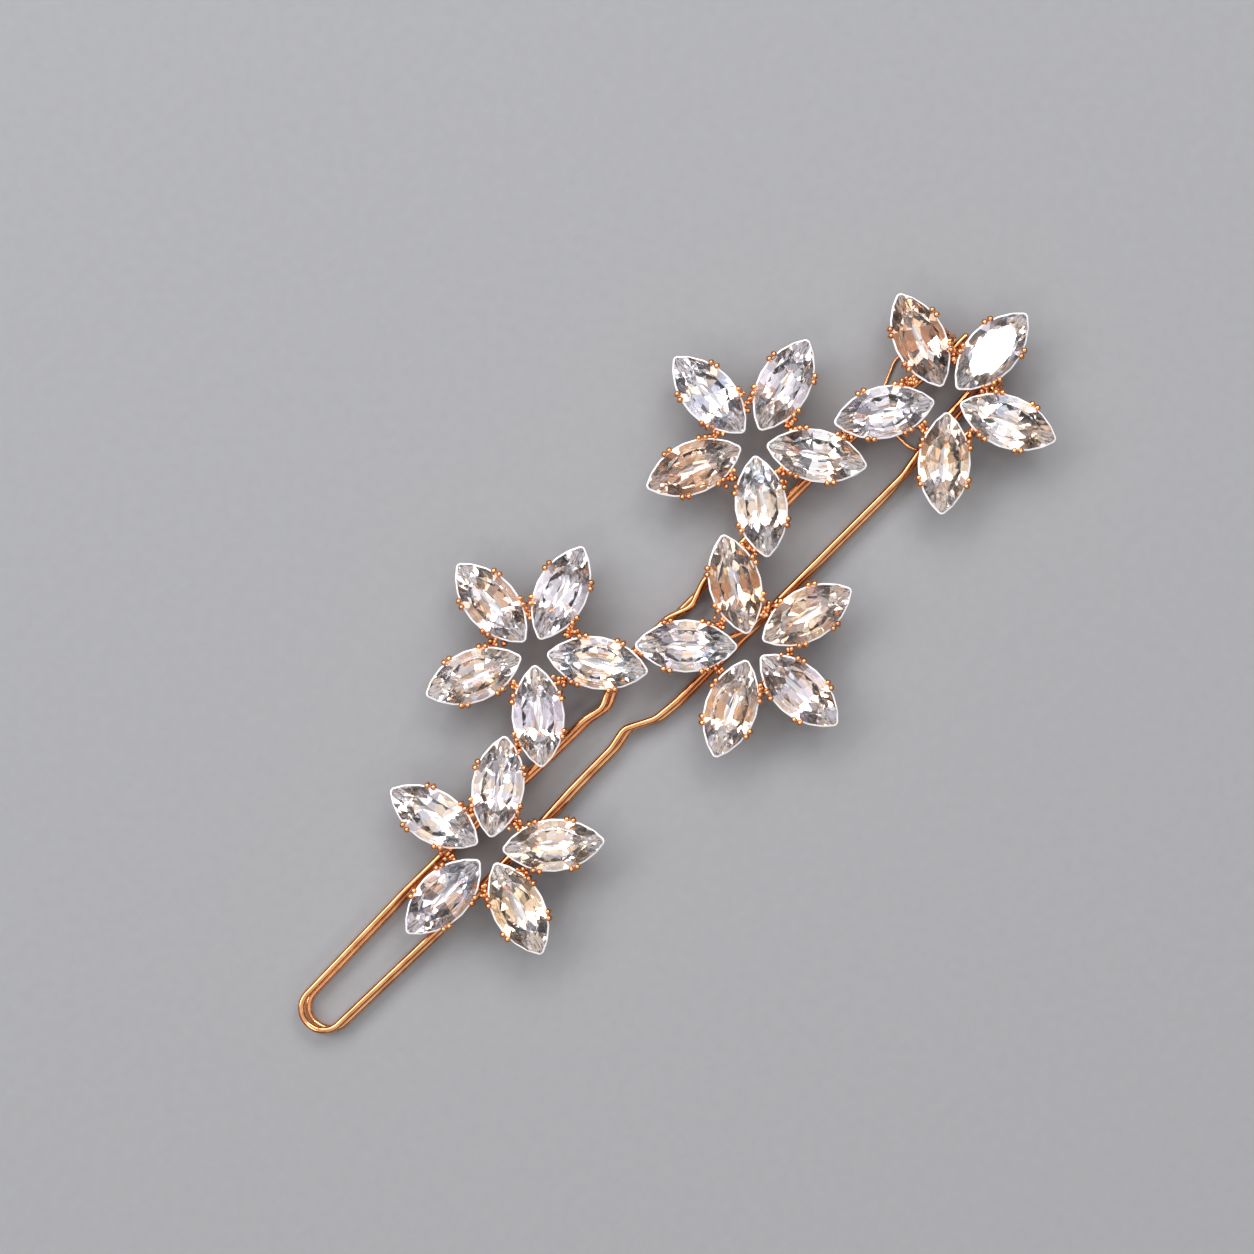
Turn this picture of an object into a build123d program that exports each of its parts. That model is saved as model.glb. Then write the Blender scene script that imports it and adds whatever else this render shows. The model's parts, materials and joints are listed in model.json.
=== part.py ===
"""Hair clip: five flowers of marquise stones soldered on a sprung hairpin of round wire."""
import math
import os

from build123d import *

os.makedirs("parts", exist_ok=True)

# Hairpin wires, in millimetres like every length here
CLIP_LENGTH = 90.3
GRIP_HALF = 3.2
NOSE_HALF = 2.05
WIRE = 0.7
LAYER_SHIFT_X = 0.45
LAYER_SHIFT_Y = -0.38

# Hinge pin and the arm's eyes
PIN = 0.8
PIN_CLEARANCE = 0.05
SIDE_CLEARANCE = 0.1
PIN_HEAD = 1.1
PIN_HEAD_THICK = 0.4
HINGE_HALF = 2.0
LEG_END = 1.75
LEG_STRAIGHT = 1.6
EYE_STRAIGHT = 2.4
EYE_TURN = 270

# Double torsion spring
SPRING_WIRE = 0.3
SPRING_TURNS = 3
COIL_RADIUS = 0.84
LOOP_REACH = 9.7
LOOP_GAP = 0.05

# Stones
STONE_LENGTH = 10.0
STONE_WIDTH = 5.0
PAVILION_DEPTH = 2.0
GIRDLE = 0.25
CROWN_HEIGHT = 0.85
PETAL_GAP = 0.54

# Claw cups and solder
CUP_WALL = 0.24
CUP_RIM_WALL = 0.16
CUP_TIP_INSET = 0.1
CUP_FLOOR = 0.3
CUP_RIM_DROP = 0.25
SEAT_GAP = 0.05
SOLDER_DEPTH = 0.1
SOLDER_BAR = 0.5
CLAW_WIRE = 0.32
CLAW_BEAD = 0.44
CLAW_SPACING = 0.56

# Shares of the cup: its base and its side windows, against the stone and the wall's height
BASE_LENGTH_SHARE = 0.64
BASE_WIDTH_SHARE = 0.4
WINDOW_LENGTH_SHARE = 0.26
WINDOW_HEIGHT_SHARE = 0.5
WINDOW_CENTRE_SHARE = 0.55
WINDOW_CORNER_SHARE = 0.2

# Shares of the claws and the solder: places against the stone's half length, heights against
# the pavilion's depth, and how far knee and bead stand out and up, in their own diameters
CLAW_PLACE = 0.36
CLAW_ROOT_HEIGHT = 0.55
CLAW_KNEE_OUT = 0.9
CLAW_KNEE_DOWN = 0.16
CLAW_BEAD_OUT = 0.27
CLAW_BEAD_UP = 0.58
BAR_PLACE = 0.5
BAR_HEIGHT = 0.62

# Shares of the stone's cut; half facets are steeper than the main facets by some degrees
SIDE_CORNERS = 8
TABLE_SHARE = 0.56
STAR_SHARE = 0.92
KEEL_SHARE = 0.3
KEEL_EASE = 0.94
HALF_FACET_STEEPER = 7.0

# Flowers from the nose to the hinge; along and across are shares of the flower's radius,
# counted from the hinge pin, and the bearings of the five petals are in degrees
FLOWERS = [
    {"along": -5.862, "across": -0.046, "bearings": (103, 37, -40, -108, 180)},
    {"along": -4.388, "across": 0.888, "bearings": (86, 20, -55, -131, 157)},
    {"along": -3.048, "across": -0.397, "bearings": (59, -15, -87, -153, 134)},
    {"along": -1.794, "across": 0.826, "bearings": (88, 17, -57, -128, 158)},
    {"along": -0.358, "across": -0.085, "bearings": (70, 2, -66, -138, 147)},
]

# Solder where petals of two flowers meet: places are shares of the stone's half length from
# its middle, and side is which long side of both petals faces the other
LINKS = [
    {"petal": "stone_1_2", "place": 0.72, "other": "stone_2_4", "other_place": 0.52, "side": -1},
    {"petal": "stone_2_3", "place": 0.68, "other": "stone_3_5", "other_place": 0.78, "side": 1},
    {"petal": "stone_3_1", "place": 0.56, "other": "stone_4_4", "other_place": 0.66, "side": -1},
    {"petal": "stone_4_3", "place": 0.48, "other": "stone_5_5", "other_place": 0.76, "side": 1},
]

# Bends of the wires: place is a share of the clip's length from the nose, half is a share of
# the half width of the grip, and bend is the bend's radius in wire diameters
FRONT_BENDS = [
    {"place": 0.175, "half": 0.766, "bend": 30},
    {"place": 0.292, "half": 0.734, "bend": 30},
    {"place": 0.382, "half": 0.609, "bend": 30},
    {"place": 0.441, "half": 0.594, "bend": 6},
    {"place": 0.465, "half": 0.453, "bend": 2.2},
    {"place": 0.496, "half": 0.906, "bend": 4},
]
UPPER_BENDS = FRONT_BENDS + [
    {"place": 0.526, "half": 0.984, "bend": 8},
    {"place": 0.581, "half": 0.984, "bend": 4},
    {"place": 0.608, "half": 0.703, "bend": 2.6},
    {"place": 0.637, "half": 1.0, "bend": 4},
    {"place": 0.867, "half": 1.0, "bend": 10},
    {"place": 0.920, "half": 0.719, "bend": 10},
]
LOWER_BENDS = FRONT_BENDS + [
    {"place": 0.526, "half": 0.984, "bend": 10},
    {"place": 0.830, "half": 0.984, "bend": 20},
]
NOSE_BEND_SHARE = 0.98
LEG_BEND = 10
ARM_LEG_BEND = 20

# Corners of one side of the spring's loop, as shares of its reach: out is counted from the
# coil's outer turn, and a bend of 0 is the kink where the wire reaches the loop's own level
LOOP_CORNERS = [
    {"along": -0.3, "out": 0.093, "bend": 0},
    {"along": -0.45, "out": 0.139, "bend": 0.206},
    {"along": -0.985, "out": -0.09, "bend": 0.31},
]
COIL_SWELL = 1.04
COIL_PITCH_SHARE = 0.9


def arc_radius(length, width):
    """Radius of the two equal arcs of a marquise outline."""
    return (length**2 + width**2) / (4 * width)


def half_width_at(length, width, x):
    """Half width of a marquise outline at a distance x from its middle."""
    radius = arc_radius(length, width)
    return math.sqrt(radius**2 - x**2) - (radius - width / 2)


# The petals stand out from the heart until the two that turn least apart keep the petal gap
closest = min(
    (a - b) % 360
    for flower in FLOWERS
    for a in flower["bearings"]
    for b in flower["bearings"]
    if a != b
)
half_angle = math.radians(closest / 2)
stone_arc = arc_radius(STONE_LENGTH, STONE_WIDTH)
arc_offset = stone_arc - STONE_WIDTH / 2
petal_reach = (stone_arc + PETAL_GAP / 2 - arc_offset * math.cos(half_angle)) / math.sin(half_angle)
flower_radius = petal_reach + STONE_LENGTH / 2

# Heights, from the spring's loop on the resting surface up to the stones
eye_radius = PIN / 2 + PIN_CLEARANCE + WIRE / 2
arm_drop = (SPRING_WIRE + LOOP_GAP) / (1 - LOOP_REACH / CLIP_LENGTH)
axle_z = arm_drop + WIRE / 2 + eye_radius
cup_z = axle_z + WIRE / 2 - SOLDER_DEPTH
seat_z = cup_z + CUP_FLOOR + SEAT_GAP
cup_base = -CUP_FLOOR - SEAT_GAP
rim_height = PAVILION_DEPTH - CUP_RIM_DROP
girdle_low = PAVILION_DEPTH
girdle_high = PAVILION_DEPTH + GIRDLE
table_height = girdle_high + CROWN_HEIGHT

# Places along the hinge pin, from the clip's middle line outwards
eye_half = HINGE_HALF + WIRE + SIDE_CLEARANCE
coil_inner = eye_half + WIRE / 2 + SIDE_CLEARANCE
coil_pitch = SPRING_WIRE * COIL_PITCH_SHARE
coil_outer = coil_inner + SPRING_WIRE + coil_pitch * (SPRING_TURNS - 1)
pin_end = coil_outer + SIDE_CLEARANCE + PIN_HEAD_THICK

petals = {}
for number, flower in enumerate(FLOWERS, start=1):
    for petal, bearing in enumerate(flower["bearings"], start=1):
        along = math.cos(math.radians(bearing))
        across = math.sin(math.radians(bearing))
        petals[f"stone_{number}_{petal}"] = {
            "x": flower["along"] * flower_radius + petal_reach * along,
            "y": flower["across"] * flower_radius + petal_reach * across,
            "tip_x": (flower["along"] + along) * flower_radius,
            "tip_y": (flower["across"] + across) * flower_radius,
            "bearing": bearing,
        }

# The origin is under the middle of the whole clip, nose to last petal and petal to petal
axle_x = (CLIP_LENGTH - max(petal["tip_x"] for petal in petals.values())) / 2
axle_y = -(max(p["tip_y"] for p in petals.values()) + min(p["tip_y"] for p in petals.values())) / 2
axle = Vector(axle_x, axle_y, axle_z)


def petal_place(petal):
    """Where a petal's seat lies, with the stone's length along X turned to its bearing."""
    return Location((axle_x + petal["x"], axle_y + petal["y"], seat_z), (0, 0, petal["bearing"]))


def in_clip(petal, x, y, height):
    """A point given along and across a petal and above its seat, in the clip's directions."""
    turn = math.radians(petal["bearing"])
    return Vector(
        axle_x + petal["x"] + x * math.cos(turn) - y * math.sin(turn),
        axle_y + petal["y"] + x * math.sin(turn) + y * math.cos(turn),
        seat_z + height,
    )


def marquise(length, width):
    """Flat marquise outline, two equal arcs that meet in a point at each end."""
    with BuildSketch() as outline:
        with BuildLine():
            ThreePointArc((-length / 2, 0), (0, width / 2), (length / 2, 0))
            ThreePointArc((length / 2, 0), (0, -width / 2), (-length / 2, 0))
        make_face()
    return outline.sketch


def cup_size(height):
    """Outer length and width of the cup at a height above the seat."""
    share = (height - cup_base) / (rim_height - cup_base)
    low_length = BASE_LENGTH_SHARE * STONE_LENGTH
    low_width = BASE_WIDTH_SHARE * STONE_WIDTH
    length = low_length + share * (STONE_LENGTH - 2 * CUP_TIP_INSET - low_length)
    return length, low_width + share * (STONE_WIDTH - low_width)


# One cut stone, its length along X and the keel of its pavilion at height 0: corners round the
# girdle and the outward directions there, then a plane for each facet
tip_turn = math.asin(STONE_LENGTH / 2 / stone_arc)
leans = [tip_turn * (1 - 2 * corner / SIDE_CORNERS) for corner in range(SIDE_CORNERS + 1)]
corners = [(stone_arc * math.sin(lean), stone_arc * math.cos(lean) - arc_offset) for lean in leans]
outwards = [(math.sin(lean), math.cos(lean)) for lean in leans]
outwards[0] = (1, 0)
outwards[-1] = (-1, 0)
corners += [(x, -y) for x, y in reversed(corners[1:-1])]
outwards += [(x, -y) for x, y in reversed(outwards[1:-1])]
keel_half = KEEL_SHARE * STONE_LENGTH / 2
steeper = math.radians(HALF_FACET_STEEPER)

facets = []
for index, ((x, y), (out_x, out_y)) in enumerate(zip(corners, outwards)):
    next_x, next_y = corners[(index + 1) % len(corners)]
    edge = math.hypot(next_x - x, next_y - y)
    edge_x, edge_y = (y - next_y) / edge, (next_x - x) / edge
    edge_reach = abs(edge_x * x + edge_y * y)
    edge_x, edge_y = math.copysign(edge_x, x + next_x), math.copysign(edge_y, y + next_y)
    half_crown = math.atan2(CROWN_HEIGHT, edge_reach * (1 - TABLE_SHARE)) + steeper
    half_pavilion = math.atan2(PAVILION_DEPTH, edge_reach - keel_half * abs(edge_x)) + steeper
    facets.append(((x, y, girdle_high), (edge_x, edge_y), half_crown))
    facets.append(((x, y, girdle_low), (edge_x, edge_y), -half_pavilion))
    reach = out_x * x + out_y * y
    crown = math.atan2(CROWN_HEIGHT, reach * (1 - TABLE_SHARE))
    keel = keel_half * abs(out_x) * (1 if index % SIDE_CORNERS == 0 else KEEL_EASE)
    if index % 2 == 0:
        facets.append(((x, y, girdle_high), (out_x, out_y), crown))
        facets.append(((x, y, girdle_low), (out_x, out_y), -math.atan2(PAVILION_DEPTH, reach - keel)))
    else:
        star = STAR_SHARE * TABLE_SHARE * reach
        facets.append(((out_x * star, out_y * star, table_height), (out_x, out_y), crown / 2))

with BuildPart() as cut_stone:
    with BuildSketch(Plane.XY.offset(-GIRDLE)):
        with BuildLine():
            Polyline(*corners, close=True)
        make_face()
    extrude(amount=table_height + GIRDLE)
    for point, (out_x, out_y), lean in facets:
        level = abs(math.sin(lean))
        upward = math.copysign(math.cos(lean), lean)
        split(bisect_by=Plane(point, z_dir=(out_x * level, out_y * level, upward)), keep=Keep.BOTTOM)

# The claw cup's outer block
with BuildPart() as cup_block:
    for height in (cup_base, rim_height):
        with BuildSketch(Plane.XY.offset(height)):
            add(marquise(*cup_size(height)))
    loft()

# What is taken out of a cup: the hollow for the stone and the windows in its long sides
with BuildPart() as cup_hollow:
    for height, wall in ((-SEAT_GAP, CUP_WALL), (rim_height, CUP_RIM_WALL)):
        length, width = cup_size(height)
        with BuildSketch(Plane.XY.offset(height)):
            add(marquise(length - 2 * wall / math.sin(tip_turn), width - 2 * wall))
    loft()
    with BuildSketch(Plane.XZ):
        with Locations((0, WINDOW_CENTRE_SHARE * rim_height)):
            RectangleRounded(
                WINDOW_LENGTH_SHARE * STONE_LENGTH,
                WINDOW_HEIGHT_SHARE * rim_height,
                WINDOW_CORNER_SHARE * rim_height,
            )
    extrude(amount=STONE_WIDTH, both=True)

# A cup's claws: pairs of ball-ended prongs that rise from the wall, pass the girdle and lean in
claw_x = CLAW_PLACE * STONE_LENGTH / 2
claw_edge = half_width_at(STONE_LENGTH, STONE_WIDTH, claw_x)
claw_lean = math.asin(claw_x / stone_arc)
root_height = CLAW_ROOT_HEIGHT * PAVILION_DEPTH
root_side = half_width_at(*cup_size(root_height), claw_x) - CUP_WALL / 2
claw_shape = (
    ((root_side - claw_edge) / math.cos(claw_lean), root_height),
    (CLAW_KNEE_OUT * CLAW_WIRE, girdle_low - CLAW_KNEE_DOWN * CLAW_WIRE),
    (CLAW_BEAD_OUT * CLAW_BEAD, girdle_high + CLAW_BEAD_UP * CLAW_BEAD),
)


def beside_stone(out, spread, height):
    """A point out from the stone's edge and spread along it, at the claws' place."""
    x = claw_x + out * math.sin(claw_lean) + spread * math.cos(claw_lean)
    y = claw_edge + out * math.cos(claw_lean) - spread * math.sin(claw_lean)
    return (x, y, height)


with BuildPart() as claws:
    for spread in (-CLAW_SPACING / 2, CLAW_SPACING / 2):
        root, knee, bead = (beside_stone(out, spread, height) for out, height in claw_shape)
        with BuildLine() as claw_line:
            Polyline(root, knee, bead)
        with BuildSketch(Plane(root, z_dir=claw_line.line % 0)):
            Circle(CLAW_WIRE / 2)
        sweep(transition=Transition.RIGHT)
        with Locations(bead):
            Sphere(CLAW_BEAD / 2)
    mirror(about=Plane.XZ)
    mirror(about=Plane.YZ)

# Solder bars from wall to wall, between neighbours in a flower and where two flowers meet
bar_height = BAR_HEIGHT * PAVILION_DEPTH


def wall_point(petal, place, side):
    """The middle of a cup's wall at the solder's height, on one long side of a petal."""
    x = place * STONE_LENGTH / 2
    y = half_width_at(*cup_size(bar_height), x) - CUP_WALL / 2
    return in_clip(petal, x, side * y, bar_height)


bars = []
for number, flower in enumerate(FLOWERS, start=1):
    names = [f"stone_{number}_{petal}" for petal in range(1, len(flower["bearings"]) + 1)]
    for name, neighbour in zip(names, names[1:] + names[:1]):
        start = wall_point(petals[name], -BAR_PLACE, -1)
        bars.append((start, wall_point(petals[neighbour], -BAR_PLACE, 1)))
for link in LINKS:
    start = wall_point(petals[link["petal"]], link["place"], link["side"])
    bars.append((start, wall_point(petals[link["other"]], link["other_place"], link["side"])))

with BuildPart() as solder:
    for start, end in bars:
        with BuildSketch(Plane(start, z_dir=end - start)):
            Circle(SOLDER_BAR / 2)
        extrude(amount=(end - start).length)


def hairpin_side(bends, shift):
    """Corners of one side of a hairpin from the hinge's end to the nose, with bend radii."""
    nose = axle_x - CLIP_LENGTH + shift
    side = [
        (nose + bend["place"] * CLIP_LENGTH, bend["half"] * GRIP_HALF, bend["bend"] * WIRE)
        for bend in reversed(bends)
    ]
    return side + [(nose + WIRE / 2, NOSE_HALF, NOSE_BEND_SHARE * NOSE_HALF)]


# The upper hairpin, the pin through its legs, the solder and the 25 cups with their claws
places = [petal_place(petal) for petal in petals.values()]
upper_side = [(axle_x - LEG_STRAIGHT, HINGE_HALF, LEG_BEND * WIRE)] + hairpin_side(UPPER_BENDS, 0)
upper_radii = [radius for _, _, radius in upper_side]
upper_points = [(axle_x + LEG_END, axle_y + HINGE_HALF, axle_z)]
upper_points += [(x, axle_y + y, axle_z) for x, y, _ in upper_side]
upper_points += [(x, axle_y - y, axle_z) for x, y, _ in reversed(upper_side)]
upper_points += [(axle_x + LEG_END, axle_y - HINGE_HALF, axle_z)]

with BuildPart() as soldered_frame:
    with BuildLine():
        FilletPolyline(*upper_points, radius=upper_radii + upper_radii[::-1])
    with BuildSketch(Plane(upper_points[0], z_dir=(-1, 0, 0))):
        Circle(WIRE / 2)
    sweep()
    with BuildSketch(Plane(axle, z_dir=(0, 1, 0))):
        Circle(PIN / 2)
    extrude(amount=pin_end, both=True)
    for side in (-1, 1):
        head = axle + Vector(0, side * (pin_end - PIN_HEAD_THICK), 0)
        with BuildSketch(Plane(head, z_dir=(0, side, 0))):
            Circle(PIN_HEAD / 2)
        extrude(amount=PIN_HEAD_THICK)
    add(solder.part)
    with Locations(*places):
        add(cup_block.part)
    with Locations(*places):
        add(cup_hollow.part, mode=Mode.SUBTRACT)
    with Locations(*places):
        add(claws.part)
soldered_frame.part.label = "soldered_frame"
export_step(soldered_frame.part, "parts/soldered_frame.step")

# The lower arm is turned a little about the pin, so that its nose rests on the surface too
arm_tilt = math.degrees(math.asin(arm_drop / (CLIP_LENGTH - LAYER_SHIFT_X - WIRE / 2)))
arm_plane = Plane(axle, x_dir=(1, 0, 0), z_dir=(0, 0, 1)).rotated((0, -arm_tilt, 0))
arm_side = [(axle_x - EYE_STRAIGHT, eye_half, ARM_LEG_BEND * WIRE)]
arm_side += hairpin_side(LOWER_BENDS, LAYER_SHIFT_X)
arm_radii = [radius for _, _, radius in arm_side]


def in_arm(x, y, height):
    """A point given from the axle in the arm's own tilted directions, in the clip's."""
    return arm_plane.from_local_coords(Vector(x, y, height))


def eye_arc(side, turns):
    """Points of an eye's arc at the given turns from its lowest point."""
    return [
        in_arm(eye_radius * math.sin(turn), side * eye_half, -eye_radius * math.cos(turn))
        for turn in map(math.radians, turns)
    ]


arm_points = []
for side in (1, -1):
    leg = [in_arm(0, side * eye_half, -eye_radius), in_arm(-EYE_STRAIGHT, side * eye_half, -eye_radius)]
    leg += [in_arm(x - axle_x, side * y + LAYER_SHIFT_Y, -eye_radius) for x, y, _ in arm_side[1:]]
    arm_points += leg if side == 1 else leg[::-1]

with BuildPart() as lower_arm:
    with BuildLine() as arm_line:
        ThreePointArc(*eye_arc(1, (EYE_TURN, EYE_TURN / 2, 0)))
        FilletPolyline(*arm_points, radius=arm_radii + arm_radii[::-1])
        ThreePointArc(*eye_arc(-1, (0, EYE_TURN / 2, EYE_TURN)))
    with BuildSketch(Plane(arm_line.line @ 0, z_dir=arm_line.line % 0)):
        Circle(WIRE / 2)
    sweep()
lower_arm.part.label = "lower_arm"
export_step(lower_arm.part, "parts/lower_arm.step")

# The spring: a close-wound coil on each end of the pin, joined by one loop under the arm
outer_turn = coil_outer - SPRING_WIRE / 2
loop_side = [
    (axle_x + corner["along"] * LOOP_REACH, outer_turn + corner["out"] * LOOP_REACH)
    for corner in LOOP_CORNERS
]
loop_radii = [corner["bend"] * LOOP_REACH for corner in LOOP_CORNERS if corner["bend"]]
loop_points = [(x, axle_y + y, SPRING_WIRE / 2) for x, y in loop_side]
loop_points += [(x, axle_y - y, SPRING_WIRE / 2) for x, y in reversed(loop_side)]

with BuildPart() as torsion_spring:
    for side in (-1, 1):
        with BuildSketch(Plane(axle)):
            for turn in range(SPRING_TURNS):
                with Locations((COIL_RADIUS, side * (outer_turn - turn * coil_pitch))):
                    Circle(COIL_SWELL * SPRING_WIRE / 2)
        revolve(axis=Axis(axle, (0, 1, 0)))
    coil_ends = [axle + Vector(0, side * outer_turn, -COIL_RADIUS) for side in (1, -1)]
    with BuildLine() as loop_line:
        Line(coil_ends[0], loop_points[0])
        FilletPolyline(*loop_points, radius=loop_radii + loop_radii[::-1])
        Line(loop_points[-1], coil_ends[1])
    with BuildSketch(Plane(coil_ends[0], z_dir=loop_line.line % 0)):
        Circle(SPRING_WIRE / 2)
    sweep(transition=Transition.RIGHT)
torsion_spring.part.label = "torsion_spring"
export_step(torsion_spring.part, "parts/torsion_spring.step")

# The 25 stones, each in its own cup
for name, petal in petals.items():
    with BuildPart() as stone:
        with Locations(petal_place(petal)):
            add(cut_stone.part)
    stone.part.label = name
    export_step(stone.part, f"parts/{name}.step")
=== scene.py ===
"""Dresses a hair clip: foiled crystal marquises in gilt claw cups on a sprung hairpin of round wire."""
import itertools
import json
import logging
import math
from abc import ABC, abstractmethod
from dataclasses import dataclass, field
from enum import Enum, IntEnum
from typing import Any, Iterable, Union

import bpy
import numpy as np
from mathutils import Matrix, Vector


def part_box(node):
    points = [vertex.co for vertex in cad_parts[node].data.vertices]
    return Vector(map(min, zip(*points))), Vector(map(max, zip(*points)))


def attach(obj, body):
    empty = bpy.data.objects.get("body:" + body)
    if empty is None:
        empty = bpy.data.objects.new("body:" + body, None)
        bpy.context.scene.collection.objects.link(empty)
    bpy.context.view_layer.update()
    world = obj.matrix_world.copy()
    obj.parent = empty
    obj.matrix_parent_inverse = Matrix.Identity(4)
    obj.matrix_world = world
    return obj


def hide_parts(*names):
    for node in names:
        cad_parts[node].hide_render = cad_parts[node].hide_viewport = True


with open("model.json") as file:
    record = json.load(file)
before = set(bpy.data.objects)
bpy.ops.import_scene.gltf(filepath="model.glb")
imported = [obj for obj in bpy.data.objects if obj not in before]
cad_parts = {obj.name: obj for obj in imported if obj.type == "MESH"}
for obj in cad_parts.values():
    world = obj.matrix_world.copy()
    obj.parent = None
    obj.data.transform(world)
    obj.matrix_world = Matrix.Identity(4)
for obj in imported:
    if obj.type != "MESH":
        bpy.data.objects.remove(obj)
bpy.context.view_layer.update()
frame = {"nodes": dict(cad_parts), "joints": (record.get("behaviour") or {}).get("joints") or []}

log = logging.getLogger("hair_clip")

MM = 0.001
FRAME_BODY = "frame"
ARM_BODY = "arm"
CREASE = math.radians(38)
ALONG = np.array([1.0, 0.0, 0.0])
UP = np.array([0.0, 0.0, 1.0])
SKEW = np.array([0.0, 1.0, 1.0])
QUARTER_TURN = 90
CUTS = 4

# A Mix node's inputs for a factor and two colours, and its output for the colour between them
MIX_INPUTS = (0, 6, 7)
MIX_OUTPUT = 2

Colour = tuple[float, float, float]
Operand = Union["Value", float]


# Shader maths

class Value:
    """A number, colour or vector that flows through a material; operators add Math nodes."""

    def __init__(self, shader: "Shader", socket: bpy.types.NodeSocket) -> None:
        """Keeps the shader that the socket belongs to."""
        self.shader = shader
        self.socket = socket

    def _math(self, operation: str, first: Operand, second: Operand) -> "Value":
        """One Math node of two operands."""
        return self.shader.node("ShaderNodeMath", {"operation": operation}, {0: first, 1: second})

    def __add__(self, other: Operand) -> "Value":
        """The sum of two values."""
        return self._math("ADD", self, other)

    def __radd__(self, other: Operand) -> "Value":
        """The sum, with a plain number on the left."""
        return self._math("ADD", other, self)

    def __sub__(self, other: Operand) -> "Value":
        """The difference of two values."""
        return self._math("SUBTRACT", self, other)

    def __rsub__(self, other: Operand) -> "Value":
        """A plain number less this value."""
        return self._math("SUBTRACT", other, self)

    def __mul__(self, other: Operand) -> "Value":
        """The product of two values."""
        return self._math("MULTIPLY", self, other)

    def __rmul__(self, other: Operand) -> "Value":
        """The product, with a plain number on the left."""
        return self._math("MULTIPLY", other, self)

    def __pow__(self, other: Operand) -> "Value":
        """This value to a power."""
        return self._math("POWER", self, other)


class Shader:
    """Builds the nodes of one material or room."""

    def __init__(self, owner: bpy.types.Material | bpy.types.World) -> None:
        """Starts with no nodes.

        Args:
            owner: The material or world that the nodes belong to.
        """
        self.owner = owner
        owner.use_nodes = True
        self.tree = owner.node_tree
        self.tree.nodes.clear()

    def node(self, kind: str, settings: dict[str, Any] | None = None,
             inputs: dict[Any, Any] | None = None, output: Any = 0) -> Value:
        """Adds a node, sets it up and wires its sockets.

        Args:
            kind: The node's type.
            settings: Its properties; "stops" are a ramp's places and colours.
            inputs: Values or links by the socket's name or number.
            output: The output that the result stands for.

        Returns:
            The chosen output as a value.
        """
        made = self.tree.nodes.new(kind)
        for key, setting in (settings or {}).items():
            if key == "stops":
                self._set_stops(made.color_ramp, setting)
            else:
                setattr(made, key, setting)
        for key, given in (inputs or {}).items():
            if isinstance(given, Value):
                self.tree.links.new(given.socket, made.inputs[key])
            else:
                made.inputs[key].default_value = given
        return Value(self, made.outputs[output])

    @staticmethod
    def _set_stops(ramp: bpy.types.ColorRamp, stops: tuple[tuple[float, Colour], ...]) -> None:
        """Gives a ramp its places and colours."""
        while len(ramp.elements) < len(stops):
            ramp.elements.new(1.0)
        for element, (place, colour) in zip(ramp.elements, stops):
            element.position = place
            element.color = (*colour, 1.0)

    def place(self) -> Value:
        """Each point's own coordinates on the piece, in metres."""
        return self.node("ShaderNodeTexCoord", output="Object")

    def stored(self, name: str, output: str) -> Value:
        """An attribute that is stored on the piece's mesh."""
        return self.node("ShaderNodeAttribute", {"attribute_name": name}, output=output)

    def noise(self, place: Value, scale: float, detail: float = 2.0, roughness: float = 0.55) -> Value:
        """Soft cloudy noise from 0 to 1 of a size of about one over the scale, in metres."""
        inputs = {"Vector": place, "Scale": scale, "Detail": detail, "Roughness": roughness}
        return self.node("ShaderNodeTexNoise", {}, inputs)

    def stretched(self, place: Value, scale: tuple[float, float, float]) -> Value:
        """Coordinates scaled by their own factor on each axis."""
        return self.node("ShaderNodeMapping", {}, {"Vector": place, "Scale": scale})

    def step(self, value: Value, start: float, end: float) -> Value:
        """0 up to where the value is at its start, 1 from its end on, even between them."""
        inputs = {"Value": value, "From Min": start, "From Max": end}
        return self.node("ShaderNodeMapRange", {}, inputs)

    def between(self, factor: Operand, low: Any, high: Any) -> Value:
        """A colour between two colours."""
        inputs = dict(zip(MIX_INPUTS, (factor, self.colour(low), self.colour(high))))
        return self.node("ShaderNodeMix", {"data_type": "RGBA"}, inputs, MIX_OUTPUT)

    @staticmethod
    def colour(given: Any) -> Any:
        """A plain colour with its alpha, or a link as it is."""
        return given if isinstance(given, Value) else (*given, 1.0)

    def bump(self, height: Value, depth: float, strength: float) -> Value:
        """A normal bent by a height from 0 to 1 of a depth in metres."""
        inputs = {"Height": height, "Distance": depth, "Strength": strength}
        return self.node("ShaderNodeBump", {}, inputs)

    def done(self, surface: Value, kind: str = "ShaderNodeOutputMaterial") -> Any:
        """Wires a surface to an output node.

        Args:
            surface: The surface's shader or the room's backdrop.
            kind: The output node's type.

        Returns:
            The material or world that the nodes belong to.
        """
        end = self.tree.nodes.new(kind)
        self.tree.links.new(surface.socket, end.inputs["Surface"])
        return self.owner


# Finishes

@dataclass(frozen=True)
class Finish(ABC):
    """A finish that becomes one material.

    Args:
        name: The material's name.
    """

    name: str

    def material(self) -> bpy.types.Material:
        """The finish as a material with one principled surface."""
        shader = Shader(bpy.data.materials.new(self.name))
        return shader.done(shader.node("ShaderNodeBsdfPrincipled", {}, self.inputs(shader)))

    @abstractmethod
    def inputs(self, shader: Shader) -> dict[str, Any]:
        """Numbers, colours and links for the surface's sockets; the shader adds their nodes."""


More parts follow.
